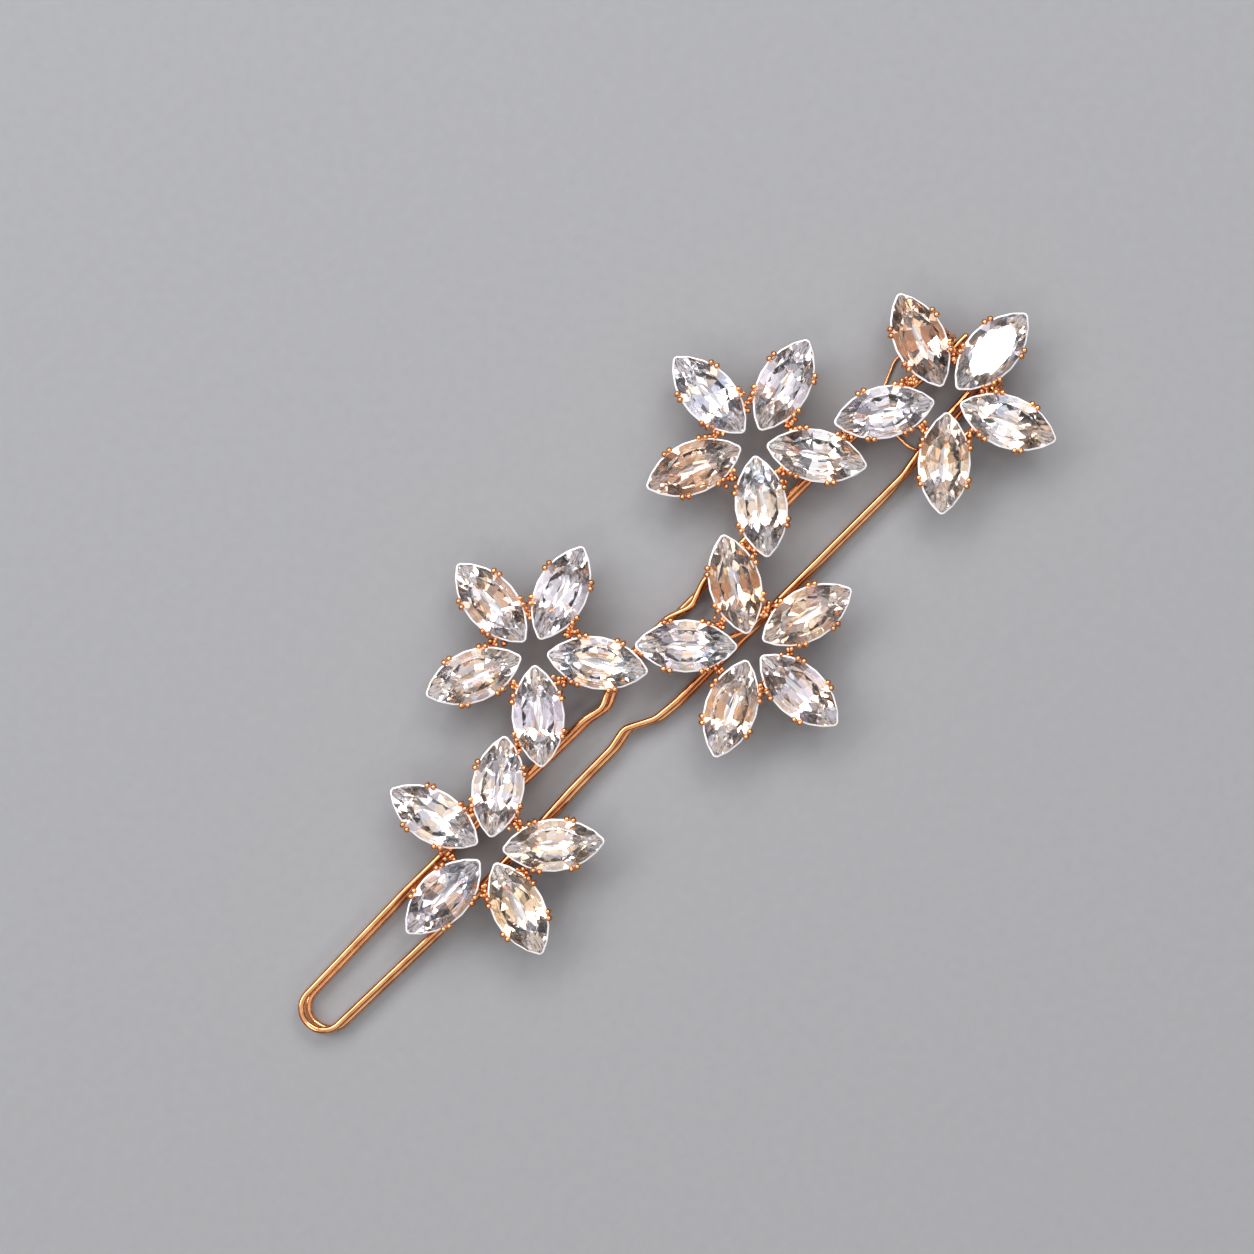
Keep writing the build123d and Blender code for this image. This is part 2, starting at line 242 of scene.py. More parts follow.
@dataclass(frozen=True)
class GiltFinish(Finish):
    """Bright rose gilt plating on wire and cups.

    Fine draw lines run along the clip, clouds of deeper tone lie where the plating is older, and
    specks of a duller sheen break up the reflections.
    """

    slot: str
    fresh: Colour = (0.94, 0.46, 0.21)
    deep: Colour = (0.52, 0.18, 0.07)
    fresh_until: float = 0.40
    deep_from: float = 0.72
    line_share: float = 0.25
    roughness: float = 0.06
    roughness_range: float = 0.09
    cloud_scale: float = 520.0
    cloud_detail: float = 3.0
    line_scale: float = 2600.0
    line_stretch: tuple[float, float, float] = (0.06, 1.0, 1.0)
    line_relief: float = 0.85
    speck_scale: float = 5200.0
    bump_depth: float = 0.004 * MM
    bump_strength: float = 0.2

    def inputs(self, shader: Shader) -> dict[str, Any]:
        """A metal whose tone, sheen and fine relief vary over the surface.

        Args:
            shader: Adds the nodes.

        Returns:
            What the surface's sockets are given.
        """
        place = shader.place()
        clouds = shader.noise(place, self.cloud_scale, self.cloud_detail)
        lines = shader.noise(shader.stretched(place, self.line_stretch), self.line_scale)
        specks = shader.noise(place, self.speck_scale)
        age = clouds + self.line_share * (lines - clouds)
        height = specks + self.line_relief * (lines - specks)
        return {
            "Base Color": shader.between(
                shader.step(age, self.fresh_until, self.deep_from), self.fresh, self.deep
            ),
            "Metallic": 1.0,
            "Roughness": self.roughness + self.roughness_range * (lines * specks),
            "Normal": shader.bump(height, self.bump_depth, self.bump_strength),
        }


@dataclass(frozen=True)
class CrystalFinish(Finish):
    """Clear crystal glass on the crown."""

    name: str = "clear_crystal"
    slot: str = "clear_stone"
    glass: Colour = (1.0, 0.985, 0.99)
    refraction: float = 1.62
    mark_scale: float = 900.0
    mark_detail: float = 4.0
    mark_contrast: float = 3.0
    mark_roughness: float = 0.015

    def inputs(self, shader: Shader) -> dict[str, Any]:
        """Polished glass with a trace of handling marks.

        Args:
            shader: Adds the nodes.

        Returns:
            What the surface's sockets are given.
        """
        marks = shader.noise(shader.place(), self.mark_scale, self.mark_detail)
        return {
            "Base Color": shader.colour(self.glass),
            "Roughness": self.mark_roughness * marks ** self.mark_contrast,
            "IOR": self.refraction,
            "Transmission Weight": 1.0,
        }


@dataclass(frozen=True)
class FoilFinish(Finish):
    """Mirror foil behind the pavilion.

    Its tint is stored facet by facet on the stone's mesh, and so is the stone's own place, along
    whose long axis run painted streaks, a painted reflection in a paler and a warmer colour. The
    tint's alpha says how much of a mirror the foil is there; towards the points it is duller and
    spreads a pale light, and its tint is painted paler there, a painted lighter tip.
    """

    name: str = "foil_backing"
    tint_name: str = "foil_tint"
    place_name: str = "stone_place"
    # Painted reflection: streaks of this pale colour and of the warm one below run along the stone
    pale: Colour = (0.90, 0.87, 0.93)
    pale_share: float = 0.7
    pale_range: tuple[float, float] = (0.56, 0.62)
    warm: Colour = (0.80, 0.53, 0.30)
    warm_share: float = 0.9
    warm_range: tuple[float, float] = (0.39, 0.34)
    streak_scale: float = 1500.0
    streak_stretch: tuple[float, float, float] = (0.16, 1.0, 1.0)
    roughness: float = 0.03
    roughness_range: float = 0.03
    ripple_scale: float = 900.0
    ripple_depth: float = 0.02 * MM
    ripple_strength: float = 0.2

    def inputs(self, shader: Shader) -> dict[str, Any]:
        """A mirror with the facet's painted tint, painted streaks of reflection along the stone and
        slight ripples.

        Args:
            shader: Adds the nodes.

        Returns:
            What the surface's sockets are given.
        """
        place = shader.stored(self.place_name, "Vector")
        tint = shader.stored(self.tint_name, "Color")
        streaks = shader.noise(shader.stretched(place, self.streak_stretch), self.streak_scale)
        ripples = shader.noise(place, self.ripple_scale)
        # Painted streaks of reflection, pale and warm, along the stone's long axis
        pale = self.pale_share * shader.step(streaks, *self.pale_range)
        warm = self.warm_share * shader.step(streaks, *self.warm_range)
        return {
            "Base Color": shader.between(warm, shader.between(pale, tint, self.pale), self.warm),
            "Metallic": shader.stored(self.tint_name, "Alpha"),
            "Roughness": self.roughness + self.roughness_range * ripples,
            "Normal": shader.bump(ripples, self.ripple_depth, self.ripple_strength),
        }


@dataclass(frozen=True)
class GroundFinish(Finish):
    """The girdle's ground edge, pale and matt, with a painted glow though it is no lamp."""

    name: str = "ground_girdle"
    tone: Colour = (0.98, 0.97, 0.99)
    shade: Colour = (0.86, 0.84, 0.88)
    # Painted glow: the edge gives off light of its own tone, though it is no lamp
    painted_glow: float = 0.35
    grain_scale: float = 3200.0
    grain_detail: float = 4.0
    grain_depth: float = 0.01 * MM
    grain_strength: float = 0.3
    roughness: float = 0.3
    roughness_range: float = 0.2

    def inputs(self, shader: Shader) -> dict[str, Any]:
        """Pale ground glass with a fine grain and a painted glow.

        Args:
            shader: Adds the nodes.

        Returns:
            What the surface's sockets are given.
        """
        grain = shader.noise(shader.place(), self.grain_scale, self.grain_detail)
        return {
            "Base Color": shader.between(grain, self.tone, self.shade),
            "Roughness": self.roughness + self.roughness_range * grain,
            "Normal": shader.bump(grain, self.grain_depth, self.grain_strength),
            # Painted glow, not a lamp
            "Emission Color": shader.colour(self.tone),
            "Emission Strength": self.painted_glow,
        }


@dataclass(frozen=True)
class PaperFinish(Finish):
    """Pale matt paper under the clip."""

    name: str = "matt_paper"
    tone: Colour = (0.29, 0.296, 0.31)
    shading: float = 0.93
    grain_scale: float = 900.0
    roughness: float = 0.7
    roughness_range: float = 0.2

    def inputs(self, shader: Shader) -> dict[str, Any]:
        """Paper whose fibres are a little darker and duller than its ground.

        Args:
            shader: Adds the nodes.

        Returns:
            What the surface's sockets are given.
        """
        grain = shader.noise(shader.place(), self.grain_scale)
        fibre = [self.shading * part for part in self.tone]
        return {
            "Base Color": shader.between(grain, self.tone, fibre),
            "Roughness": self.roughness + self.roughness_range * grain,
        }


# Surfaces as whole arrays

@dataclass
class Surface:
    """A skin of points and faces.

    Args:
        points: Corner points, a row of x, y and z each, in metres.
        loops: Corner numbers of all faces, one face after another.
        counts: How many corners each face has.
    """

    points: np.ndarray
    loops: np.ndarray
    counts: np.ndarray

    def placed(self, turns: np.ndarray, origins: np.ndarray) -> "Surface":
        """Copies of the surface, each turned and then moved; copy n, point p is turn_n p + origin_n.

        Args:
            turns: One 3 by 3 matrix for each copy.
            origins: One place for each copy.

        Returns:
            All copies as one surface.
        """
        copies = np.einsum("nij,pj->npi", turns, self.points) + origins[:, None]
        raised = self.loops[None, :] + len(self.points) * np.arange(len(turns))[:, None]
        return Surface(copies.reshape(-1, 3), raised.ravel(), np.tile(self.counts, len(turns)))

    @staticmethod
    def joined(parts: Iterable["Surface"]) -> "Surface":
        """Several surfaces as one; each part's corner numbers are raised by the points before it.

        Args:
            parts: The surfaces.

        Returns:
            One surface with all their faces.
        """
        parts = list(parts)
        before = np.cumsum([0] + [len(part.points) for part in parts[:-1]])
        return Surface(
            np.concatenate([part.points for part in parts]),
            np.concatenate([part.loops + start for part, start in zip(parts, before)]),
            np.concatenate([part.counts for part in parts]),
        )

    def mesh(self, name: str) -> bpy.types.Mesh:
        """The surface as a smooth mesh with its creases kept.

        Args:
            name: The mesh's name.

        Returns:
            The mesh, with no object yet.
        """
        mesh = bpy.data.meshes.new(name)
        mesh.vertices.add(len(self.points))
        mesh.vertices.foreach_set("co", self.points.astype(np.float32).ravel())
        mesh.loops.add(len(self.loops))
        mesh.loops.foreach_set("vertex_index", self.loops.astype(np.int32))
        mesh.polygons.add(len(self.counts))
        starts = np.concatenate([[0], np.cumsum(self.counts)[:-1]])
        mesh.polygons.foreach_set("loop_start", starts.astype(np.int32))
        mesh.update(calc_edges=True)
        mesh.validate()
        mesh.shade_smooth()
        mesh.set_sharp_from_angle(angle=CREASE)
        return mesh


def unit(vectors: np.ndarray) -> np.ndarray:
    """Vectors divided by their lengths."""
    return vectors / np.linalg.norm(vectors, axis=-1, keepdims=True)


def capped_rings(rings: np.ndarray, first: np.ndarray, last: np.ndarray) -> Surface:
    """Skins of closed rings with a pole at each end.

    Args:
        rings: Points by skin, ring, place round the ring and axis.
        first: The pole before the first ring of each skin.
        last: The pole after the last ring of each skin.

    Returns:
        Quads from ring to ring and fans of triangles to the poles. Faces point outwards if the
        rings turn right-handed about the way from first to last.
    """
    skins, count, sides, _ = rings.shape
    points = np.concatenate([first[:, None], rings.reshape(skins, -1, 3), last[:, None]], axis=1)
    around = np.arange(sides)
    onward = (around + 1) % sides
    row = 1 + sides * np.arange(count - 1)[:, None]
    corners = [row + around, row + onward, row + sides + onward, row + sides + around]
    quads = np.stack(corners, axis=-1).reshape(-1, 4)
    end = count * sides + 1
    bottom = np.stack([np.zeros(sides, int), 1 + onward, 1 + around], axis=-1)
    top = np.stack([np.full(sides, end), end - sides + around, end - sides + onward], axis=-1)
    loops = np.concatenate([quads.ravel(), bottom.ravel(), top.ravel()])
    counts = np.concatenate([np.full(len(quads), 4), np.full(2 * sides, 3)])
    raised = loops[None, :] + (end + 1) * np.arange(skins)[:, None]
    return Surface(points.reshape(-1, 3), raised.ravel(), np.tile(counts, skins))


def tubes(routes: np.ndarray, radii: np.ndarray, sides: int, reference: np.ndarray = SKEW) -> Surface:
    """Round wires carried along routes, the first and last point of each being its poles.

    Ring k, point j is route_k + radius_k (cos a_j n_k + sin a_j b_k) with a_j = 2 pi j / sides;
    n is the part of the reference across the tangent and b is the tangent crossed with n.

    Args:
        routes: Points by wire, step and axis.
        radii: The radius at each step.
        sides: Points round the wire.
        reference: A direction that no tangent is along.

    Returns:
        The wires' skins.
    """
    tangents = unit(np.gradient(routes, axis=-2))
    across = unit(reference - (tangents @ reference)[..., None] * tangents)
    beside = np.cross(tangents, across)
    angles = 2 * np.pi * np.arange(sides) / sides
    spokes = across[:, :, None] * np.cos(angles)[:, None] + beside[:, :, None] * np.sin(angles)[:, None]
    rings = routes[:, :, None] + radii[..., None, None] * spokes
    return capped_rings(rings[:, 1:-1], routes[:, 0], routes[:, -1])


def domed(route: np.ndarray, radius: float, steps: int = 5) -> tuple[np.ndarray, np.ndarray]:
    """A route and its radii with a half ball at each end.

    A dome's ring at angle w from the pole lies radius cos w beyond the end and has the radius
    radius sin w.

    Args:
        route: Points of the wire's line.
        radius: The wire's radius.
        steps: Rings of a dome.

    Returns:
        The longer route and the radius at each of its points.
    """
    angle = np.linspace(0, np.pi / 2, steps, endpoint=False)
    out, size = radius * np.cos(angle), radius * np.sin(angle)
    start = route[0] + out[:, None] * unit(route[0] - route[1])
    end = route[-1] + out[::-1, None] * unit(route[-1] - route[-2])
    radii = np.concatenate([size, np.full(len(route), radius), size[::-1]])
    return np.concatenate([start, route, end]), radii


def rounded(corners: np.ndarray, radii: np.ndarray, samples: int = 15) -> np.ndarray:
    """A line through corners, each inner one rounded by an arc.

    With p and q the runs before and after a corner and w the turn between them, the arc of radius
    r starts r tan(w / 2) before the corner, and its point at a share s of the turn is
    start + r sin(s w) p + r (1 - cos(s w)) m, where m is the part of q across p, made a unit long.

    Args:
        corners: The corners, ends included.
        radii: The radius at each inner corner.
        samples: Points of each arc.

    Returns:
        The line's points.
    """
    runs = unit(np.diff(corners, axis=0))
    before, after = runs[:-1], runs[1:]
    cosine = np.clip((before * after).sum(axis=1), -1, 1)
    turn = np.arccos(cosine)
    inward = unit(after - cosine[:, None] * before)
    start = corners[1:-1] - (radii * np.tan(turn / 2))[:, None] * before
    angle = turn[:, None] * np.linspace(0, 1, samples)
    along = np.sin(angle)[..., None] * before[:, None]
    aside = (1 - np.cos(angle))[..., None] * inward[:, None]
    arcs = start[:, None] + radii[:, None, None] * (along + aside)
    return np.concatenate([corners[:1], arcs.reshape(-1, 3), corners[-1:]])


def mirrored(points: np.ndarray) -> np.ndarray:
    """Points with y turned round, in the other order."""
    return points[::-1] * [1, -1, 1]


def looped(half: np.ndarray, other: np.ndarray, radii: np.ndarray) -> np.ndarray:
    """A rounded line along one half of a loop and back along the other half, mirrored."""
    return rounded(np.concatenate([half, mirrored(other)]), np.concatenate([radii, radii[::-1]]))


def add_object(name: str, data: Any) -> bpy.types.Object:
    """Puts a new object into the scene.

    Args:
        name: Its name.
        data: Its mesh, light or camera.

    Returns:
        The object, at the origin.
    """
    made = bpy.data.objects.new(name, data)
    bpy.context.scene.collection.objects.link(made)
    return made


def add_piece(mesh: bpy.types.Mesh, materials: list[bpy.types.Material], body: str, slot: str,
              *nodes: str) -> None:
    """Makes a mesh a piece of the clip, under the mesh's name.

    Args:
        mesh: The piece's mesh, with its place in its points.
        materials: Its materials, in the order of the faces' material numbers.
        body: The body that it moves with.
        slot: The record's slot that its finish belongs to; not used.
        nodes: The frame's nodes that it stands for.
    """
    piece = add_object(mesh.name, mesh)
    for material in materials:
        mesh.materials.append(material)
    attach(piece, body)
    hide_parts(*nodes)
    counts = len(mesh.vertices), len(mesh.polygons)
    log.info("%s: %d points, %d faces, rides on %s", piece.name, *counts, body)


# The sprung hairpin

@dataclass(frozen=True)
class Bend:
    """One corner of a hairpin's side.

    Args:
        place: Its distance from the nose, as a share of the clip's length.
        half: Its distance from the middle line, as a share of the grip's half width.
        bend: Its radius in wire diameters.
    """

    place: float
    half: float
    bend: float


FRONT_BENDS = (
    Bend(0.175, 0.766, 30),
    Bend(0.292, 0.734, 30),
    Bend(0.382, 0.609, 30),
    Bend(0.441, 0.594, 6),
    Bend(0.465, 0.453, 2.2),
    Bend(0.496, 0.906, 4),
)
UPPER_BENDS = FRONT_BENDS + (
    Bend(0.526, 0.984, 8),
    Bend(0.581, 0.984, 4),
    Bend(0.608, 0.703, 2.6),
    Bend(0.637, 1.0, 4),
    Bend(0.867, 1.0, 10),
    Bend(0.920, 0.719, 10),
)
LOWER_BENDS = FRONT_BENDS + (Bend(0.526, 0.984, 10), Bend(0.830, 0.984, 20))


@dataclass
class Wirework:
    """Sizes that the hairpin and its arm share, and how a wire is drawn, from the hinge's axle."""

    axle: np.ndarray
    length: float = 90.3 * MM
    grip_half: float = 3.2 * MM
    nose_half: float = 2.05 * MM
    nose_bend: float = 0.98
    wire: float = 0.7 * MM
    sides: int = 24
    hinge_half: float = 2.0 * MM
    pin: float = 0.8 * MM

    def side_of(self, bends: tuple[Bend, ...], shift: float) -> tuple[np.ndarray, np.ndarray]:
        """Corners of a hairpin's side from the hinge to the nose, and their radii.

        Args:
            bends: The side's bends from the nose back.
            shift: How far the nose stands back from the clip's own nose.

        Returns:
            Points from the axle with no height, and one radius for each.
        """
        nose = shift - self.length
        rows = [(nose + b.place * self.length, b.half * self.grip_half, 0) for b in reversed(bends)]
        radii = [b.bend * self.wire for b in reversed(bends)]
        rows.append((nose + self.wire / 2, self.nose_half, 0))
        radii.append(self.nose_bend * self.nose_half)
        return np.array(rows), np.array(radii)

    def wire_skin(self, route: np.ndarray, diameter: float, sides: int) -> Surface:
        """A domed wire along a route that is given from the axle."""
        line, radii = domed(route + self.axle, diameter / 2)
        return tubes(line[None], radii[None], sides)


@dataclass
class UpperHairpin(Wirework):
    """The wire that carries the flowers, nose to hinge, and the pin through its legs."""

    leg_end: float = 1.75 * MM
    leg_straight: float = 1.6 * MM
    leg_bend: float = 10
    pin_end: float = 4.59 * MM
    pin_head: float = 1.1 * MM
    pin_head_thick: float = 0.4 * MM
    head_edge: float = 0.12 * MM
    head_back_edge: float = 0.04 * MM
    head_steps: int = 5

    def route(self) -> np.ndarray:
        """The wire's line.

        Returns:
            Points from the end of one leg round the nose to the end of the other.
        """
        side, radii = self.side_of(UPPER_BENDS, 0.0)
        leg = [(self.leg_end, self.hinge_half, 0), (-self.leg_straight, self.hinge_half, 0)]
        half = np.concatenate([leg, side])
        return looped(half, half, np.concatenate([[self.leg_bend * self.wire], radii]))

    def pin_skin(self) -> Surface:
        """The pin, with a rounded head at each end.

        Ring k, point j is r_k (cos a_j, 0, sin a_j) + (0, y_k, 0) from the axle, with radii r_k at
        places y_k along the pin and a_j = -2 pi j / sides.

        Returns:
            The pin's skin.
        """
        head = self.pin_end - self.pin_head_thick
        edge = self.head_edge
        full = self.pin_head / 2
        turn = np.linspace(0, np.pi / 2, self.head_steps)
        corner_y = self.pin_end - edge + edge * np.sin(turn)
        corner_r = full - edge + edge * np.cos(turn)
        half_y = np.concatenate([[0, head, head], corner_y, [self.pin_end]])
        shaft = self.pin / 2
        half_r = np.concatenate([[shaft, shaft, full - self.head_back_edge], corner_r, [0]])
        across = np.concatenate([-half_y[:0:-1], half_y])
        radii = np.concatenate([half_r[:0:-1], half_r])
        angles = -2 * np.pi * np.arange(self.sides) / self.sides
        spokes = np.stack([np.cos(angles), np.zeros(self.sides), np.sin(angles)], axis=-1)
        rings = self.axle + radii[:, None, None] * spokes + across[:, None, None] * np.array([0, 1, 0])
        return capped_rings(rings[None, 1:-1], rings[None, 0, 0], rings[None, -1, 0])

    def build(self, gilt: bpy.types.Material, slot: str) -> None:
        """Adds the upper wire and the pin."""
        wire = self.wire_skin(self.route(), self.wire, self.sides)
        for mesh in (wire.mesh("upper_wire"), self.pin_skin().mesh("hinge_pin")):
            add_piece(mesh, [gilt], FRAME_BODY, slot, "soldered_frame")


@dataclass
class LowerArm(Wirework):
    """The arm that closes under the hair, with an eye round the pin at each end."""

    layer_shift_x: float = 0.45 * MM
    layer_shift_y: float = -0.38 * MM
    pin_clearance: float = 0.05 * MM
    side_clearance: float = 0.1 * MM
    eye_straight: float = 2.4 * MM
    eye_turn: float = 270
    eye_steps: int = 48
    leg_bend: float = 20
    drop: float = 0.3921 * MM

    @property
    def eye_radius(self) -> float:
        """Radius of the line of the eyes round the axle."""
        return self.pin / 2 + self.pin_clearance + self.wire / 2

    @property
    def eye_half(self) -> float:
        """Distance of the eyes from the clip's middle line."""
        return self.hinge_half + self.wire + self.side_clearance

    def route(self) -> np.ndarray:
        """The arm's line.

        An eye's point at a turn w from its lowest is radius (sin w, 0, -cos w) beside the leg.

        Returns:
            Points from one eye round the nose to the other, turned down about the axle.
        """
        side, radii = self.side_of(LOWER_BENDS, self.layer_shift_x)
        turn = np.radians(np.linspace(self.eye_turn, 0, self.eye_steps, endpoint=False))
        eye = np.stack([np.sin(turn), np.zeros(len(turn)), -np.cos(turn)], axis=-1) * self.eye_radius
        eye[:, 1] = self.eye_half
        leg = [(0, self.eye_half, 0), (-self.eye_straight, self.eye_half, 0)]
        shift = np.array([0, self.layer_shift_y, 0])
        half, other = (np.concatenate([leg, moved]) for moved in (side + shift, side - shift))
        line = looped(half, other, np.concatenate([[self.leg_bend * self.wire], radii]))
        line[:, 2] = -self.eye_radius
        line = np.concatenate([eye, line, mirrored(eye)])
        tilt = math.asin(self.drop / (self.length - self.layer_shift_x - self.wire / 2))
        turned = [[math.cos(tilt), 0, math.sin(tilt)], [0, 1, 0], [-math.sin(tilt), 0, math.cos(tilt)]]
        return line @ np.array(turned)

    def build(self, gilt: bpy.types.Material, slot: str) -> None:
        """Adds the arm."""
        wire = self.wire_skin(self.route(), self.wire, self.sides)
        add_piece(wire.mesh("arm_wire"), [gilt], ARM_BODY, slot, "lower_arm")


@dataclass
class TorsionSpring(Wirework):
    """A close-wound coil on each end of the pin, joined by one loop that presses under the arm."""

    spring_wire: float = 0.3 * MM
    coil_radius: float = 0.84 * MM
    pitch: float = 0.285 * MM
    turns: float = 2.25
    coil_steps: int = 96
    outer_turn: float = 3.95 * MM
    reach: float = 9.7 * MM
    loop_sides: int = 14
    loop_corners: tuple[tuple[float, float, float], ...] = (
        (-0.3, 0.093, 0.09),
        (-0.45, 0.139, 0.206),
        (-0.985, -0.09, 0.31),
    )

    def route(self) -> np.ndarray:
        """Coil, loop and coil as one line.

        A coil's point at a turn w back from its outer end is radius (sin w, 0, -cos w), moved
        inwards by the pitch times w over a whole turn.

        Returns:
            The line's points.
        """
        turn = np.linspace(2 * np.pi * self.turns, 0, self.coil_steps, endpoint=False)
        inward = self.outer_turn - self.pitch * turn / (2 * np.pi)
        beside, below = self.coil_radius * np.sin(turn), -self.coil_radius * np.cos(turn)
        coil = np.stack([beside, inward, below], axis=-1)
        along, out, bends = self.reach * np.array(self.loop_corners).T
        level = np.full(len(along), self.spring_wire / 2 - self.axle[2])
        corners = np.stack([along, self.outer_turn + out, level], axis=-1)
        half = np.concatenate([[(0, self.outer_turn, -self.coil_radius)], corners])
        return np.concatenate([coil, looped(half, half, bends), mirrored(coil)])

    def coil_middles(self) -> np.ndarray:
        """The middles of the two coils."""
        beside = self.outer_turn - self.pitch * self.turns / 2
        return self.axle + [(0, beside, 0), (0, -beside, 0)]

    def build(self, steel: bpy.types.Material, slot: str) -> None:
        """Adds the spring."""
        wire = self.wire_skin(self.route(), self.spring_wire, self.loop_sides)
        add_piece(wire.mesh("spring_wire"), [steel], ARM_BODY, slot, "torsion_spring")


# The flowers

class Tint(Enum):
    """Colours painted facet by facet on the foil, partly its own colour and partly painted reflection.
    """

    WHITE = (0.99, 0.98, 0.99)
    LILAC = (0.86, 0.82, 0.89)
    CHAMPAGNE = (0.97, 0.80, 0.60)
    AMBER = (0.70, 0.45, 0.30)
    # A painted dark reflection: a nearly black mirror facet
    SHADOW = (0.06, 0.055, 0.07)
    # A painted coloured glint, standing in for dispersion
    PAINTED_GLINT = (0.70, 0.84, 1.00)


class Mood(Enum):
    """What a stone mostly throws back: each tint's share of its facets."""

    CLEAR = (0.54, 0.22, 0.09, 0.06, 0.07, 0.02)
    LILAC = (0.36, 0.38, 0.08, 0.06, 0.08, 0.04)
    CHAMPAGNE = (0.30, 0.10, 0.36, 0.16, 0.07, 0.01)
    SMOKY = (0.10, 0.08, 0.32, 0.38, 0.11, 0.01)
    MIXED = (0.36, 0.20, 0.17, 0.08, 0.09, 0.10)


FLOWER_MOODS = (
    (Mood.CLEAR, Mood.CHAMPAGNE, Mood.CHAMPAGNE, Mood.CHAMPAGNE, Mood.LILAC),
    (Mood.CLEAR, Mood.LILAC, Mood.MIXED, Mood.CLEAR, Mood.CHAMPAGNE),
    (Mood.SMOKY, Mood.CHAMPAGNE, Mood.LILAC, Mood.CHAMPAGNE, Mood.MIXED),
    (Mood.CLEAR, Mood.CLEAR, Mood.MIXED, Mood.CLEAR, Mood.SMOKY),
    (Mood.SMOKY, Mood.CLEAR, Mood.CHAMPAGNE, Mood.CHAMPAGNE, Mood.LILAC),
)


@dataclass
class Petal:
    """Where one stone of a flower stands, read from its node of the frame.

    Args:
        node: The stone's node.
        mood: What the stone mostly throws back.
        heart: The middle of the flower, towards which the petal's inner point looks.
    """

    node: str
    mood: Mood
    heart: np.ndarray
    middle: np.ndarray = field(init=False)
    bearing: float = field(init=False)

    def __post_init__(self) -> None:
        """Finds the stone's middle and the way of its long axis, away from the heart."""
        points = node_points(self.node)
        low, high = np.array(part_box(self.node))
        tip = furthest(points, (low + high) / 2)
        far_tip = furthest(points, tip)
        self.middle = np.array([*(tip + far_tip)[:2] / 2, low[2]])
        along = (tip - far_tip)[:2]
        along = along * np.sign(along @ (self.middle - self.heart)[:2])
        self.bearing = math.atan2(along[1], along[0])

    @property
    def turn(self) -> np.ndarray:
        """The matrix that turns the petal's own x to its bearing."""
        cosine, sine = math.cos(self.bearing), math.sin(self.bearing)
        return np.array([[cosine, -sine, 0], [sine, cosine, 0], [0, 0, 1]])

    def in_clip(self, points: np.ndarray) -> np.ndarray:
        """Points given along, across and above the petal's seat, in the clip's frame."""
        return points @ self.turn.T + self.middle


def furthest(points: np.ndarray, place: np.ndarray) -> np.ndarray:
    """The point that lies furthest from a place in plan."""
    return points[np.argmax(np.linalg.norm((points - place)[:, :2], axis=1))]


def node_points(node: str) -> np.ndarray:
    """All corner points of a node of the frame.

    Args:
        node: The node's name.

    Returns:
        A row of x, y and z for each point.
    """
    mesh = frame["nodes"][node].data
    points = np.zeros(3 * len(mesh.vertices), np.float32)
    mesh.vertices.foreach_get("co", points)
    return points.reshape(-1, 3).astype(float)


@dataclass
class Marquise:
    """The outline of two equal arcs and the heights that stones and cups share, in metres."""

    length: float = 10.0 * MM
    width: float = 5.0 * MM
    pavilion: float = 2.0 * MM
    girdle: float = 0.25 * MM

    @property
    def girdle_high(self) -> float:
        """Height of the girdle's upper edge above the keel."""
        return self.pavilion + self.girdle

    @property
    def tip_turn(self) -> float:
        """How far the outline turns from its middle to a tip."""
        return math.asin(self.length / 2 / self.arc_of(self.length, self.width))

    @staticmethod
    def arc_of(length: Any, width: Any) -> Any:
        """Radius of the arcs of an outline of some length and width."""
        return (length**2 + width**2) / (4 * width)

    def half_width(self, length: float, width: float, x: Any) -> Any:
        """Half width of an outline at a distance from its middle."""
        radius = self.arc_of(length, width)
        return np.sqrt(radius**2 - np.square(x)) - (radius - width / 2)

    def rings(self, lengths: np.ndarray, widths: np.ndarray, heights: np.ndarray,
              side: int) -> np.ndarray:
        """Outlines one above the other.

        On an arc of radius R the point at a lean w is (R sin w, R cos w - R + width / 2), with w
        from the tip's turn down to its negative in even steps; the second arc mirrors the first.

        Args:
            lengths: Each ring's length.
            widths: Each ring's width.
            heights: Each ring's height.
            side: Steps along each arc.

        Returns:
            Points by ring, place round it and axis, right-handed about the way up.
        """
        radius = self.arc_of(lengths, widths)[:, None]
        tip = np.arcsin(lengths[:, None] / 2 / radius)
        lean = tip * (1 - 2 * np.arange(side) / side)
        x = radius * np.sin(lean)
        y = radius * np.cos(lean) - radius + widths[:, None] / 2
        plan = np.stack([np.concatenate([x, -x], axis=1), np.concatenate([y, -y], axis=1)], axis=-1)
        level = np.broadcast_to(heights[:, None, None], (*plan.shape[:2], 1))
        return np.concatenate([plan, level], axis=-1)


class Polish(IntEnum):
    """A facet's finish, as its material number."""

    GLASS = 0
    FOIL = 1
    GROUND = 2


